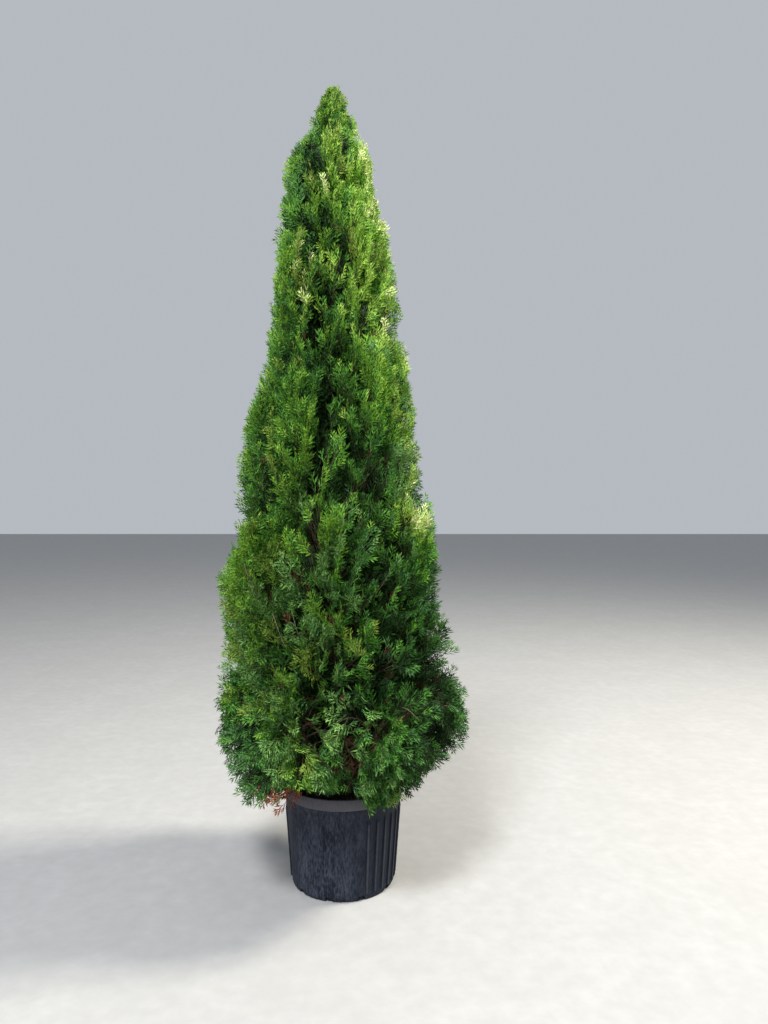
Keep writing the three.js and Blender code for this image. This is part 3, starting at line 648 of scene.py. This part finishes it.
# The crown's edge at some heights, as a share of its plain outline, on the left and on the right
EDGES = np.array([
    (0.37, 1.45, 1.00), (0.45, 1.12, 0.80), (0.53, 1.05, 0.87), (0.61, 1.00, 1.00),
    (0.77, 0.99, 1.04), (0.99, 0.97, 1.09), (1.11, 0.99, 0.92), (1.26, 1.07, 1.01),
    (1.42, 0.91, 1.04), (1.67, 1.03, 0.98), (1.92, 0.94, 0.99), (2.17, 0.92, 1.00),
    (2.42, 0.95, 1.11), (2.63, 1.05, 1.11), (2.80, 1.10, 0.95), (2.91, 1.18, 0.90),
    (3.01, 1.28, 1.07), (3.09, 0.76, 0.97), (3.17, 0.74, 1.0), (3.31, 0.3, 1.1),
])
# Each dark seam between plumes, seen from the front: its upper end, its lower end, its half-width
SEAMS = [
    ((-0.060, 1.94), (-0.064, 1.81), 0.026), ((-0.078, 1.75), (-0.085, 1.66), 0.022),
    ((-0.040, 2.14), (-0.055, 1.96), 0.010), ((-0.090, 1.55), (-0.110, 1.36), 0.034),
    ((0.050, 1.82), (0.055, 1.77), 0.022), ((0.118, 1.66), (0.126, 1.60), 0.024),
    ((0.172, 1.73), (0.180, 1.48), 0.014), ((0.025, 1.63), (0.030, 1.56), 0.018),
    ((-0.160, 1.19), (-0.175, 1.10), 0.024), ((-0.115, 0.92), (-0.125, 0.72), 0.016),
    ((0.045, 0.92), (0.048, 0.74), 0.015), ((0.046, 0.72), (0.052, 0.50), 0.030),
    ((-0.138, 0.67), (-0.142, 0.51), 0.018), ((0.010, 2.62), (0.000, 2.42), 0.018),
    ((-0.105, 3.02), (-0.115, 2.90), 0.018), ((0.090, 2.40), (0.095, 2.28), 0.016),
    ((0.170, 1.36), (0.180, 1.22), 0.018),
]
# The front of the crown's foot, where it stands open on the stems
CREVICE, CREVICE_HALF, CREVICE_TOP = math.radians(-84), math.radians(15), 0.86
OPEN_WAY = math.radians(-100)  # where the hem stands clear of the rim
OPEN_HALF, OPEN_EDGE = math.radians(20), math.radians(30)
BESIDE_HALF, BESIDE_EDGE = math.radians(47), math.radians(54)


def crown_edge(points, side):
    """How far the crown reaches at the height of points, towards the level way to each."""
    z = np.minimum(points[:, 2], TOTAL_HEIGHT - TIP_ROOM)
    left, right = (np.interp(z, EDGES[:, 0], EDGES[:, column]) for column in (1, 2))
    return crown_reach(z) * (left + (right - left) * (0.5 + 0.5 * side[:, 0]))


def in_seam(points, breadth):
    """Whether points at the front lie in a seam, whose width goes with a breadth for each."""
    level, inside = points[:, [0, 2]], np.zeros(len(points), bool)
    for top, foot, half in SEAMS:
        top, run = np.array(top), np.array(foot) - np.array(top)
        along = np.clip((level - top) @ run / (run @ run), 0, 1)[:, None]
        inside |= np.linalg.norm(level - top - along * run, axis=1) < half * breadth
    return inside & (points[:, 1] < -0.05)


def outwards(points):
    """The level way from the plant's middle to each point, and how far it is."""
    away = (points - middle_at(points[:, 2])) * np.array([1, 1, 0])
    return unit(away), np.linalg.norm(away, axis=1)


def away_from(points, azimuth):
    """The angle round the pot between points and an azimuth."""
    return np.abs((np.arctan2(points[:, 1], points[:, 0]) - azimuth + np.pi) % (2 * np.pi) - np.pi)


def hem_at(points):
    """The height under which no spray hangs: over the rim in front, lower at the sides."""
    apart = away_from(points, OPEN_WAY)
    clear = 1 - smooth(OPEN_HALF, OPEN_EDGE, apart)
    distance = np.linalg.norm(points[:, :2], axis=1)
    over_rim = np.where(distance < RIM_RADIUS + 0.015, POT_HEIGHT + 0.012, 0)
    in_front = POT_HEIGHT + 0.014 + 0.40 * (distance - RIM_RADIUS)
    beside = 0.048 * (1 - smooth(BESIDE_HALF, BESIDE_EDGE, apart)) * smooth(0, 0.1, points[:, 0])
    aside = 0.338 + 0.024 * smooth(0.2, -0.2, points[:, 0]) + beside
    return np.maximum(over_rim, aside + (in_front - aside) * clear)


def half_width(plume, t, angle):
    """A plume's half-width at t along its stem, towards an angle: it has the shape of a flame."""
    flame = math.sin(math.pi * (FLAME_FROM + FLAME_SPAN * t)) ** FLAME_BLUNTNESS
    return flame / math.hypot(math.cos(angle) / plume["width"], math.sin(angle) / plume["depth"])


def line_point(line, t):
    """Where shoots with a start, a way, a length and a rise are at a share of their length."""
    start, way, length, rise = line
    return start + (way * t + UP * rise * t * t) * length


def line_way(line, t):
    return unit(line[1] + UP * 2 * line[3] * t)


def kept_inside(line, margin, stray=1.0):
    """The lengths at which shoots stay within the crown's edge, less a margin."""
    start, way, length, rise = line
    for _ in range(3):
        tip = line_point((start, way, length, rise), 1)
        side, out = outwards(tip)
        edge = stray * crown_edge(tip, side)
        room = np.maximum(edge - margin * np.minimum(1, edge / 0.24), 0.01)
        share = np.clip(room / np.maximum(out, 1e-6), 0.2, 1)
        over = (TOTAL_HEIGHT - margin - start[:, 2]) / np.maximum(tip[:, 2] - start[:, 2], 1e-6)
        share = np.where(tip[:, 2] > start[:, 2], np.minimum(share, np.clip(over, 0.1, 1)), share)
        length = length * share[:, None]
    return [start, way, length, rise]


def forked(way, normal, turn, hand):
    """A way that leaves another in the plane across a normal, by a turn to one hand."""
    return way * np.cos(turn)[:, None] + np.cross(normal, way) * (hand * np.sin(turn))[:, None]


def rolled(normal, way, roll):
    """A normal square to a way, rolled about it."""
    normal = unit(normal - way * (normal * way).sum(1, keepdims=True))
    return normal * np.cos(roll)[:, None] + np.cross(way, normal) * np.sin(roll)[:, None]


rows = []  # each a start, a way, a length, a rise, a tier's number, a tone, 1 for an inner one
for plume in plumes:
    draw = np.random.default_rng(plume["seed"])
    tier = plume["tier"]
    count = TWIGS[tier]
    plume_tone = draw.normal(0, 0.04)
    for k in range(count):
        t = (k + 0.5 + TWIG_STRAY * (draw.random() - 0.5)) / count
        turn = GOLDEN_ANGLE * k + plume["seed"]
        angle = math.pi / 2 + turn - CROWDING * math.sin(turn)
        lean = TWIG_LEAN - TWIG_STRAIGHTENING * t + LEAN_STRAY * (draw.random() - 0.5)
        lean = math.radians(lean)
        sideways = plume["across"] * math.cos(angle) + plume["out"] * math.sin(angle)
        way = sideways * math.sin(lean) + plume["along"] * math.cos(lean)
        if tier == "skirt":
            way = way - UP * (1 - t)
        length = half_width(plume, t, angle) / max(math.sin(lean), 0.6)
        length = length * draw.uniform(0.6, 0.95)
        if tier == "leader":
            length *= LEADER_BREADTH
        start = plume["foot"] + (plume["tip"] - plume["foot"]) * t
        tone = plume_tone + draw.normal(0, 0.05)
        rows.append([*start, *unit(way), length, RISE[tier], TIER_NAMES.index(tier), tone, 0])
draw = np.random.default_rng(77)
for k in range(TRUNK_TWIGS):
    t = (k + draw.random()) / TRUNK_TWIGS
    z = TRUNK_TWIGS_FROM + (TRUNK_TIP - TRUNK_TWIGS_FROM) * t**1.3
    azimuth = GOLDEN_ANGLE * k
    from_crevice = abs((azimuth - CREVICE + math.pi) % (2 * math.pi) - math.pi)
    if z < CREVICE_TOP and from_crevice < CREVICE_HALF:
        continue
    climb = draw.uniform(0.1, 0.5) + 0.4 * z / TOTAL_HEIGHT
    way = unit(np.array([math.cos(azimuth), math.sin(azimuth), climb]))
    share = draw.uniform(0.4, 0.95)
    length = share * crown_reach(z + 0.1)
    tier = int(np.searchsorted(TRUNK_TIERS, z, side="right"))
    tone = draw.normal(0, 0.07)
    rise = 0.5 * abs(RISE[TIER_NAMES[tier]])
    rows.append([*middle_at(z), *way, length, rise, tier, tone, share < INNER_SHARE])
rows = np.array(rows)
rows[np.abs(rows[:, 2] + rows[:, 5] * rows[:, 6] - WAIST) < WAIST_HALF, 6] *= WAIST_GROWTH
twig = kept_inside((rows[:, 0:3], rows[:, 3:6], rows[:, 6:7], rows[:, 7:8]), TWIG_MARGIN)
for _ in range(6):
    tip = line_point(twig, 1)
    twig[2][tip[:, 2] < hem_at(tip)] *= 0.8
twig_tier, twig_tone, twig_inner = rows[:, 8].astype(int), rows[:, 9], rows[:, 10] > 0

draw = np.random.default_rng(5)
out, _ = outwards(line_point(twig, 0.7))
twig_normal = rolled(np.cross(UP, out), line_way(twig, 0.7), draw.normal(0, 0.5, len(rows)))
first_hand = np.where(draw.random(len(rows)) < 0.5, -1, 1)
lift = np.array([0.5 * rise + 0.12 for rise in RISE.values()])[twig_tier]
usual = np.array([*TWIGLET_LENGTH.values()])[twig_tier]
forks = []
for n, share in enumerate(np.linspace(0.30, 1.0, TWIGLETS)):
    way = line_way(twig, share)
    turn = draw.uniform(0.42, 0.85, len(rows)) * (n < TWIGLETS - 1)
    square = unit(np.cross(way, np.cross(twig_normal, way)))
    grow = forked(way, square, turn, first_hand * (-1) ** n)
    grow = unit(grow + UP * (lift + draw.normal(0, 0.06, len(rows)))[:, None])
    length = usual * (1.1 - 0.4 * share) * draw.uniform(0.65, 1.15, len(rows))
    normal = rolled(twig_normal, grow, draw.normal(0, 0.55, len(rows)))
    kept = ~twig_inner | (n % 2 == 1)
    columns = [line_point(twig, share), grow, length[:, None], 0.6 * lift[:, None], normal]
    columns += [np.arange(len(rows))[:, None], np.full((len(rows), 1), share)]
    forks.append(np.concatenate(columns, 1)[kept])
forks = np.concatenate(forks)
stray = draw.uniform(0.93, 1.04, len(rows))[forks[:, 11].astype(int)]
stray = stray + draw.uniform(-0.03, 0.03, len(forks))
twiglet = (forks[:, 0:3], forks[:, 3:6], forks[:, 6:7], forks[:, 7:8])
twiglet = kept_inside(twiglet, TWIGLET_MARGIN, stray)
tip = line_point(twiglet, 1)
kept = (tip[:, 2] > hem_at(tip)) & (twiglet[0][:, 2] > hem_at(twiglet[0]))
forks, stray, twiglet = forks[kept], stray[kept], [column[kept] for column in twiglet]
own_twig = forks[:, 11].astype(int)

shares = np.linspace(0, 1, TWIG_RINGS)
lines = np.stack([line_point(twig, t) for t in shares], 1)
radii = (TWIG_RADIUS + TWIG_STOUTNESS * twig[2]) * (1 - TWIG_THINNING * shares[None, :])
twigs = mesh_piece("fine_twigs", *limb_mesh(lines, radii, TWIG_SIDES))
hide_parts(*[f"foliage_{plume['name']}" for plume in plumes])
shares = np.linspace(0, 0.98, TWIGLET_RINGS)
lines = np.stack([line_point(twiglet, t) for t in shares], 1)
radii = np.full((len(forks), 1), TWIGLET_RADIUS) * (1 - TWIGLET_THINNING * shares[None, :])
twiglets = mesh_piece("twiglets", *limb_mesh(lines, radii, TWIGLET_SIDES))
young_bark = bark_of(
    "young_bark", (0.030, 0.015, 0.008), (0.110, 0.054, 0.026), (0.085, 0.078, 0.040),
    fineness=1.6, rough=0.75, relief=0.0006,
)
BARE_RINGS, BARE_SIDES = 8, 6
BARE_RADIUS, BARE_THINNING = 0.0021, 0.0013
bare_sizes = np.array([0.9, 0.7, 0.8, 1.7])
bare_guides = np.array([  # where dead twigs that have lost their leaves start, bend twice and end
    (-0.25, -0.34, 1.165, -0.232, -0.415, 1.185, -0.213, -0.43, 1.1, -0.182, -0.437, 1.05),
    (-0.178, -0.34, 1.18, -0.166, -0.41, 1.195, -0.153, -0.428, 1.13, -0.136, -0.435, 1.095),
    (0.235, -0.3, 0.8, 0.255, -0.39, 0.825, 0.275, -0.415, 0.81, 0.3, -0.42, 0.785),
    (-0.325, -0.29, 1.27, -0.338, -0.33, 1.285, -0.345, -0.338, 1.325, -0.352, -0.338, 1.35),
]).reshape(-1, 4, 3)
t = np.linspace(0, 1, BARE_RINGS)
bends = np.stack([(1 - t) ** 3, 3 * t * (1 - t) ** 2, 3 * t * t * (1 - t), t**3], 1)
bare_lines = np.einsum("rg,kgc->krc", bends, bare_guides)
bare_radii = (BARE_RADIUS - BARE_THINNING * t) * bare_sizes[:, None]
bare = mesh_piece("bare_twigs", *limb_mesh(bare_lines, bare_radii, BARE_SIDES))
dead_wood = bark_of(
    "dead_wood", (0.06, 0.036, 0.025), (0.17, 0.10, 0.066), (0.18, 0.135, 0.10),
    fineness=1.6, rough=0.85, relief=0.0006,
)
for piece, wood in ((twigs, young_bark), (twiglets, young_bark), (bare, dead_wood)):
    piece.data.materials.append(wood)
    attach(piece, "root")


# ---- Sprays ----
# Flat fans of scale leaves: a spray has a middle branchlet with others on both sides of it in
# turn, and some of those have a short tooth. They are joined by tint: deep green inside the
# crown, partly painted shade; fresh yellow-green on the ends, partly painted sunlight; bluer
# low down, partly painted sky-lit shade; and a few that have died off brown.


def blade(root, way, length, width):
    """A leaf's four corners: its root, its two sides and its tip."""
    across = np.array([-way[1], way[0]])
    mid = root + way * length * 0.5
    return [root, mid - across * width, root + way * length, mid + across * width]


def turned_by(way, turn):
    cos, sin = math.cos(turn), math.sin(turn)
    return np.array([way[0] * cos - way[1] * sin, way[0] * sin + way[1] * cos])


def spray_pattern(seed, branchlets, toothed, breadth):
    """One spray, a unit long: the corners of its leaves, curled a little out of its plane."""
    draw = np.random.default_rng(seed)
    leaves = [blade(np.zeros(2), np.array([0.0, 1.0]), 0.84, 0.024 * breadth)]

    def branchlet(root, way, length, has_tooth):
        leaves.append(blade(root, way, length, (0.03 * length + 0.024) * breadth))
        if has_tooth:
            tooth = turned_by(way, -math.radians(draw.uniform(28, 42)))
            leaves.append(blade(root + way * length * 0.32, tooth, 0.52 * length, 0.024 * breadth))

    for n in range(branchlets):
        t = (n + 0.5) / branchlets
        turn = math.radians(draw.uniform(30, 44) - 14 * t) * (1 if n % 2 else -1)
        length = 0.60 * math.sin(math.pi * (0.26 + 0.60 * t)) ** 0.8 * draw.uniform(0.82, 1.18)
        way = np.array([math.sin(turn), math.cos(turn)])
        branchlet(np.array([0, 0.06 + 0.72 * t]), way, length, toothed and n % 2 == seed % 2)
    branchlet(np.array([0.0, 0.64]), np.array([0.0, 1.0]), 0.36, False)
    corners = np.array(leaves).reshape(-1, 2)
    x, y = corners[:, 0], corners[:, 1]
    curl, cup, twist = draw.uniform(-0.14, 0.22), draw.uniform(0.15, 0.6), draw.uniform(-0.4, 0.4)
    lift = curl * y * y + cup * np.abs(x) ** 1.5 + twist * x * y
    lift += 0.014 * draw.standard_normal(len(x))
    return np.stack([x, y, lift], -1)


FULL = [spray_pattern(seed, 5, True, 1.0) for seed in range(8)]
PLAIN = [spray_pattern(40 + seed, 4, False, 1.5) for seed in range(4)]
SPRAYS_A_TWIGLET = 5
SPRAY_LENGTH = by_tier(0.064, 0.062, 0.060, 0.056, 0.052, 0.048)
# The six from deep to pale are darker inside the crown, partly as painted shade, and paler
# outwards, partly as painted sunlight.
TINTS = {  # base colours: the first six run from inside the crown outwards
    "deep": (0.013, 0.044, 0.008), "shade": (0.048, 0.155, 0.023), "mid": (0.097, 0.270, 0.033),
    "fresh": (0.180, 0.375, 0.036), "bright": (0.31, 0.50, 0.07), "pale": (0.68, 0.76, 0.30),
    "blue": (0.064, 0.182, 0.046), "sage": (0.150, 0.305, 0.074), "olive": (0.225, 0.345, 0.050),
    "rust": (0.42, 0.115, 0.04), "brown": (0.105, 0.046, 0.022),
}
TOPS = [0.03, 0.28, 0.55, 0.84, 1.06]  # where the score passes from each tint to the next
LADDER = np.array(list(TINTS)[: len(TOPS) + 1])
# How much the score, which paints light and shade on the crown along with the foliage's own tones,
# goes by the way out, up, to the sun, along a twiglet and along a twig
OUT_WEIGHT, UP_WEIGHT, SUN_WEIGHT, TWIGLET_WEIGHT, TWIG_WEIGHT = 1.6, 0.20, 0.24, 0.34, 0.14
SUN_WAY = unit(np.array([0.9, -0.2, 0.0]))  # the way from which sunlight is painted on the crown
# Where some sprays have died off beside the rim, and where those that hang over it are olive
RUSTY, RUSTY_HALF = math.radians(-136), math.radians(11)
FADED, FADED_HALF = math.radians(-44), math.radians(10)
SUNLIT = [  # tips in the sun: where, how far round it, and how strongly
    ((-0.125, -0.25, 2.55), 0.10, 2.8), ((-0.12, -0.27, 2.40), 0.09, 2.8),
    ((0.29, -0.20, 1.56), 0.13, 2.2), ((0.27, -0.14, 1.75), 0.10, 1.4),
    ((-0.09, -0.16, 2.85), 0.09, 1.4), ((0.44, -0.10, 0.98), 0.09, 1.4),
    ((0.50, -0.12, 0.68), 0.06, 1.4), ((0.33, -0.16, 1.48), 0.10, 1.2),
]
LIT_AND_SHADED_PATCHES = [  # painted light and painted shade on the front: the place, how far round it, and by how much
    ((0.10, -0.20, 2.50), 0.15, 0.42), ((0.14, -0.17, 2.34), 0.12, 0.36),
    ((0.16, -0.31, 1.79), 0.15, -0.55), ((0.01, -0.37, 1.80), 0.08, -0.20),
    ((-0.15, -0.31, 2.08), 0.15, -0.36), ((0.06, -0.31, 2.07), 0.13, -0.30),
    ((-0.21, -0.42, 1.00), 0.15, 0.30), ((-0.24, -0.36, 1.22), 0.13, 0.25),
    ((0.00, -0.46, 0.98), 0.14, 0.36),
]
DEAD = [  # sprays that have died off: where, how far round it, and their tint
    ((-0.20, -0.40, 1.20), 0.04, "brown"), ((0.28, -0.38, 0.86), 0.028, "rust"),
    ((-0.13, -0.33, 0.55), 0.025, "rust"), ((0.02, -0.38, 0.73), 0.024, "rust"),
    ((0.047, -0.31, 0.61), 0.075, "brown"),
]


def apart_from(points, place):
    return np.linalg.norm(points - np.array(place), axis=1)


def near(points, place, reach):
    """1 close to a place, falling to 0 at 1.3 times a reach from it."""
    return np.clip(1.3 - apart_from(points, place) / reach, 0, 1)


parts = []
count = len(forks)
twiglet_tone = draw.normal(0, 0.10, count)
bluish = draw.random(len(rows))
tier, tone, inner = twig_tier[own_twig], twig_tone[own_twig], twig_inner[own_twig]
usual = np.array([*SPRAY_LENGTH.values()])[tier]
for n, share in enumerate(np.linspace(0.22, 1.0, SPRAYS_A_TWIGLET)):
    root, way = line_point(twiglet, share), line_way(twiglet, share)
    normal = rolled(forks[:, 8:11], way, draw.normal(0, 0.3, count))
    turn = draw.uniform(0.36, 0.70, count) * (n < SPRAYS_A_TWIGLET - 1)
    grow = forked(way, normal, turn, np.where(forks[:, 11] % 2 < 1, 1, -1) * (-1) ** n)
    grow = unit(grow + UP * (0.4 * lift[own_twig] + draw.normal(0, 0.05, count))[:, None])
    face = rolled(normal + 0.25 * draw.standard_normal((count, 3)), grow, np.zeros(count))
    length = usual * (1.06 - 0.22 * share) * draw.uniform(0.8, 1.2, count) * np.where(inner, 1.7, 1)
    wanted = length.copy()
    _, was = outwards(root)
    tip = root + grow * length[:, None]
    side, out = outwards(tip)
    edge = crown_edge(tip, side)
    limit = edge * (stray + 0.03) + draw.uniform(-0.002, 0.010, count)
    top = TOTAL_HEIGHT - TIP_ROOM - 0.03 * draw.random(count)
    short = (limit - was) / np.maximum(out - was, 1e-6)
    length *= np.where(out > limit, np.clip(short, 0, 1), 1)
    over = (top - root[:, 2]) / np.maximum(tip[:, 2] - root[:, 2], 1e-6)
    length *= np.where(tip[:, 2] > top, np.clip(over, 0, 1), 1)
    tip = root + grow * length[:, None]
    side, out = outwards(tip)
    outness = out / (edge * 1.03 + 0.004)
    height = (tip[:, 2] - POT_HEIGHT) / (TOTAL_HEIGHT - POT_HEIGHT)
    leftwards, forwards = np.maximum(-side[:, 0], 0), -side[:, 1]
    # Painted sunlight high up on the side towards SUN_WAY, painted shade low down on that side, and
    # a little painted light low down on the other; SUNLIT adds spots of painted sunlight.
    sun = side @ SUN_WAY
    sunny = sun * np.clip((height - 0.44) / 0.17, -1.8, 0.9)
    sunny = np.minimum(sunny, np.clip(6 * height, 0.2, 1))
    sunny *= np.where(sunny > 0, 1, np.where(sun > 0, 1.35, 0.35))
    for place, reach, strength in SUNLIT:
        sunny += strength * near(tip, place, reach)
    score = OUT_WEIGHT * (outness - 0.64) + UP_WEIGHT * height + SUN_WEIGHT * sunny
    score = score + tone + TWIGLET_WEIGHT * (share - 0.65)
    own_tone = TWIG_WEIGHT * (forks[:, 12] - 0.7) + twiglet_tone + draw.normal(0, 0.11, count)
    # Sprays on the inner twigs are darker: partly painted shade inside the crown.
    score += own_tone - 0.3 * inner
    # Low front-facing sprays are lighter: painted light.
    lit_low_front = smooth(0.7, 0.95, forwards) * (1 - smooth(0.5, 0.65, height))
    score += (0.11 + 0.09 * (height < 0.2)) * lit_low_front
    for place, reach, change in LIT_AND_SHADED_PATCHES:
        score += change * near(tip, place, reach)
    # Painted shade holds it down low on the left, and painted light lets it up near the top and in
    # the sun.
    low_left = leftwards * (1 - smooth(0.3, 0.5, height))
    highest = 0.83 - 0.14 * low_left + 0.15 * smooth(0.5, 0.8, height)
    highest = highest + 0.35 * np.maximum(sunny, 0) * (1 - low_left)
    left_hem = smooth(0.4, 0.7, leftwards) * (1 - smooth(0.10, 0.16, height))
    left_edge = smooth(0.80, 0.98, leftwards) * (1 - smooth(0.35, 0.5, height))
    score = np.minimum(score, highest) - np.maximum(0.22 * left_edge, 0.34 * left_hem)
    tint = LADDER[np.searchsorted(TOPS, score)]
    # Pale is a painted sunlit highlight, kept only where sunlight is painted.
    tint[(tint == "pale") & (sunny < 0.8)] = "bright"
    # Lower down and towards the left some tints turn cooler: partly the foliage's own bluer green,
    # partly painted sky-lit shade.
    cool = bluish[own_twig] < 0.75 * (1 - smooth(0.2, 0.7, height + 0.35 * leftwards))
    tint[cool & (tint == "mid") & (draw.random(count) < 0.7)] = "blue"
    tint[cool & ((tint == "fresh") | (tint == "bright"))] = "sage"
    faded = 0.05 + 0.45 * smooth(0.84, 0.95, height) + 0.22 * low_left
    faded = (bluish[own_twig] > 1 - faded) & ((tint == "fresh") | (tint == "bright"))
    withered = 0.02 * (1.5 - height) + 0.04 * (1 - smooth(0.05, 0.3, height))
    tint[(outness < 0.85) & (draw.random(count) < withered)] = "brown"
    by_rim = (tip[:, 2] < 0.47) & (np.linalg.norm(tip[:, :2], axis=1) < 0.42)
    over_rim = by_rim & (tip[:, 2] < 0.42) & (away_from(tip, FADED) < FADED_HALF)
    tint[faded | over_rim] = "olive"
    tint[(away_from(tip, RUSTY) < RUSTY_HALF) & by_rim] = "rust"
    for place, reach, dead in DEAD:
        tint[apart_from(tip, place) < reach * draw.uniform(0.5, 1.3, count)] = dead
    hem = hem_at(tip) + 0.012 * draw.random(count)
    kept = (length > 0.5 * wanted) & (tip[:, 2] > hem) & (root[:, 2] > hem_at(root))
    kept &= ~inner | (n % 2 == 0)
    in_shade = in_seam(tip, draw.uniform(0.6, 1.25, count))
    tint[in_shade & ~np.isin(tint, ("rust", "brown"))] = "deep"
    kept &= ~(in_shade & (outness > 0.74))
    full = (outness > 0.70) & ~inner
    parts.append([column[kept] for column in (root, grow, face, length, full, tint)])
root, grow, face, length, full, tint = (np.concatenate(column) for column in zip(*parts))

# The surface of a spray: small overlapping scales, darker towards their edges where they overlap,
# as painted shade, under a fine mottle of painted light and shade.
scales, given, gives = effect("scale_leaves", {"Leaf": (0.1, 0.2, 0.03, 1)})
place = stretched(scales, (1, 1, 1))
cells = put(scales, "ShaderNodeTexVoronoi", {"Vector": place, "Scale": 320.0})
cells = cells.outputs["Distance"]
mottle = noise(scales, place, 120.0, 2.0, 0.5)
shade = ranged(scales, cells, 0.0, 0.7, 1.12, 0.72)
shade = maths(scales, "MULTIPLY", shade, ranged(scales, mottle, 0.34, 0.66, 0.35, 1.75))
light = put(scales, "ShaderNodeCombineColor", {0: shade, 1: shade, 2: shade}).outputs[0]
scales.links.new(mixed(scales, 1.0, given["Leaf"], light, "MULTIPLY"), gives["Colour"])
scales.links.new(cells, gives["Height"])

QUADS_A_PIECE = 90_000
for name, base in TINTS.items():
    corners = []
    for patterns, kind in ((FULL, full), (PLAIN, ~full)):
        chosen = np.flatnonzero((tint == name) & kind)
        for number, pattern in enumerate(patterns):
            own = chosen[number :: len(patterns)]
            axes = np.stack([np.cross(grow[own], face[own]), grow[own], face[own]], 1)
            axes = axes * length[own, None, None]
            corners.append((root[own, None] + pattern @ axes).reshape(-1, 4, 3))
    corners = np.concatenate(corners)
    leaf = finish_of(
        f"{name}_leaf", scales, rough=0.6, relief=0.0006, strength=0.5, specular=0.18,
        Leaf=(*base, 1),
    )
    for part, own in enumerate(np.array_split(corners, math.ceil(len(corners) / QUADS_A_PIECE))):
        faces = np.arange(4 * len(own)).reshape(-1, 4)
        piece = mesh_piece(f"sprays_{name}_{part + 1}", own.reshape(-1, 3), faces)
        piece.data.materials.append(leaf)
        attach(piece, "root")


# ---- Floor and light ----
# A plain pale studio floor, a warm key light from the right, and a cooler one that fills in from
# above on the left. Both are broad and soft, under an even pale sky.

FLOOR_HALF = 30.0
floor_corners = FLOOR_HALF * np.array([[-1, -1, 0], [1, -1, 0], [1, 1, 0], [-1, 1, 0]])
floor = mesh_piece("floor", floor_corners, np.array([[0, 1, 2, 3]]))
pale_floor = finish_of(
    "pale_floor", grains, rough=0.85,
    Dark=(0.36, 0.358, 0.354, 1), Light=(0.40, 0.398, 0.394, 1), Scale=3.0,
)
floor.data.materials.append(pale_floor)


def soft_lamp(name, place, aim, size, power, colour):
    lamp = bpy.data.lights.new(name, "AREA")
    lamp.size = size
    lamp.energy = power
    lamp.color = colour
    piece = link_new(name, lamp)
    piece.location = place
    away = unit(np.array(place, float) - np.array(aim, float))
    piece.rotation_euler = (math.acos(away[2]), 0, math.atan2(away[0], -away[1]))


soft_lamp("key", (5.4, 0.8, 6.6), (0, 0, 1.7), 1.6, 950, (1.0, 0.95, 0.82))
soft_lamp("fill", (-1.6, -4.6, 7.6), (0, 0, 1.5), 1.8, 850, (0.97, 0.98, 1.0))
world = bpy.data.worlds.new("studio")
bpy.context.scene.world = world
world.use_nodes = True
sky = world.node_tree.nodes["Background"].inputs
sky["Color"].default_value = (0.83, 0.88, 0.95, 1)
sky["Strength"].default_value = 0.56
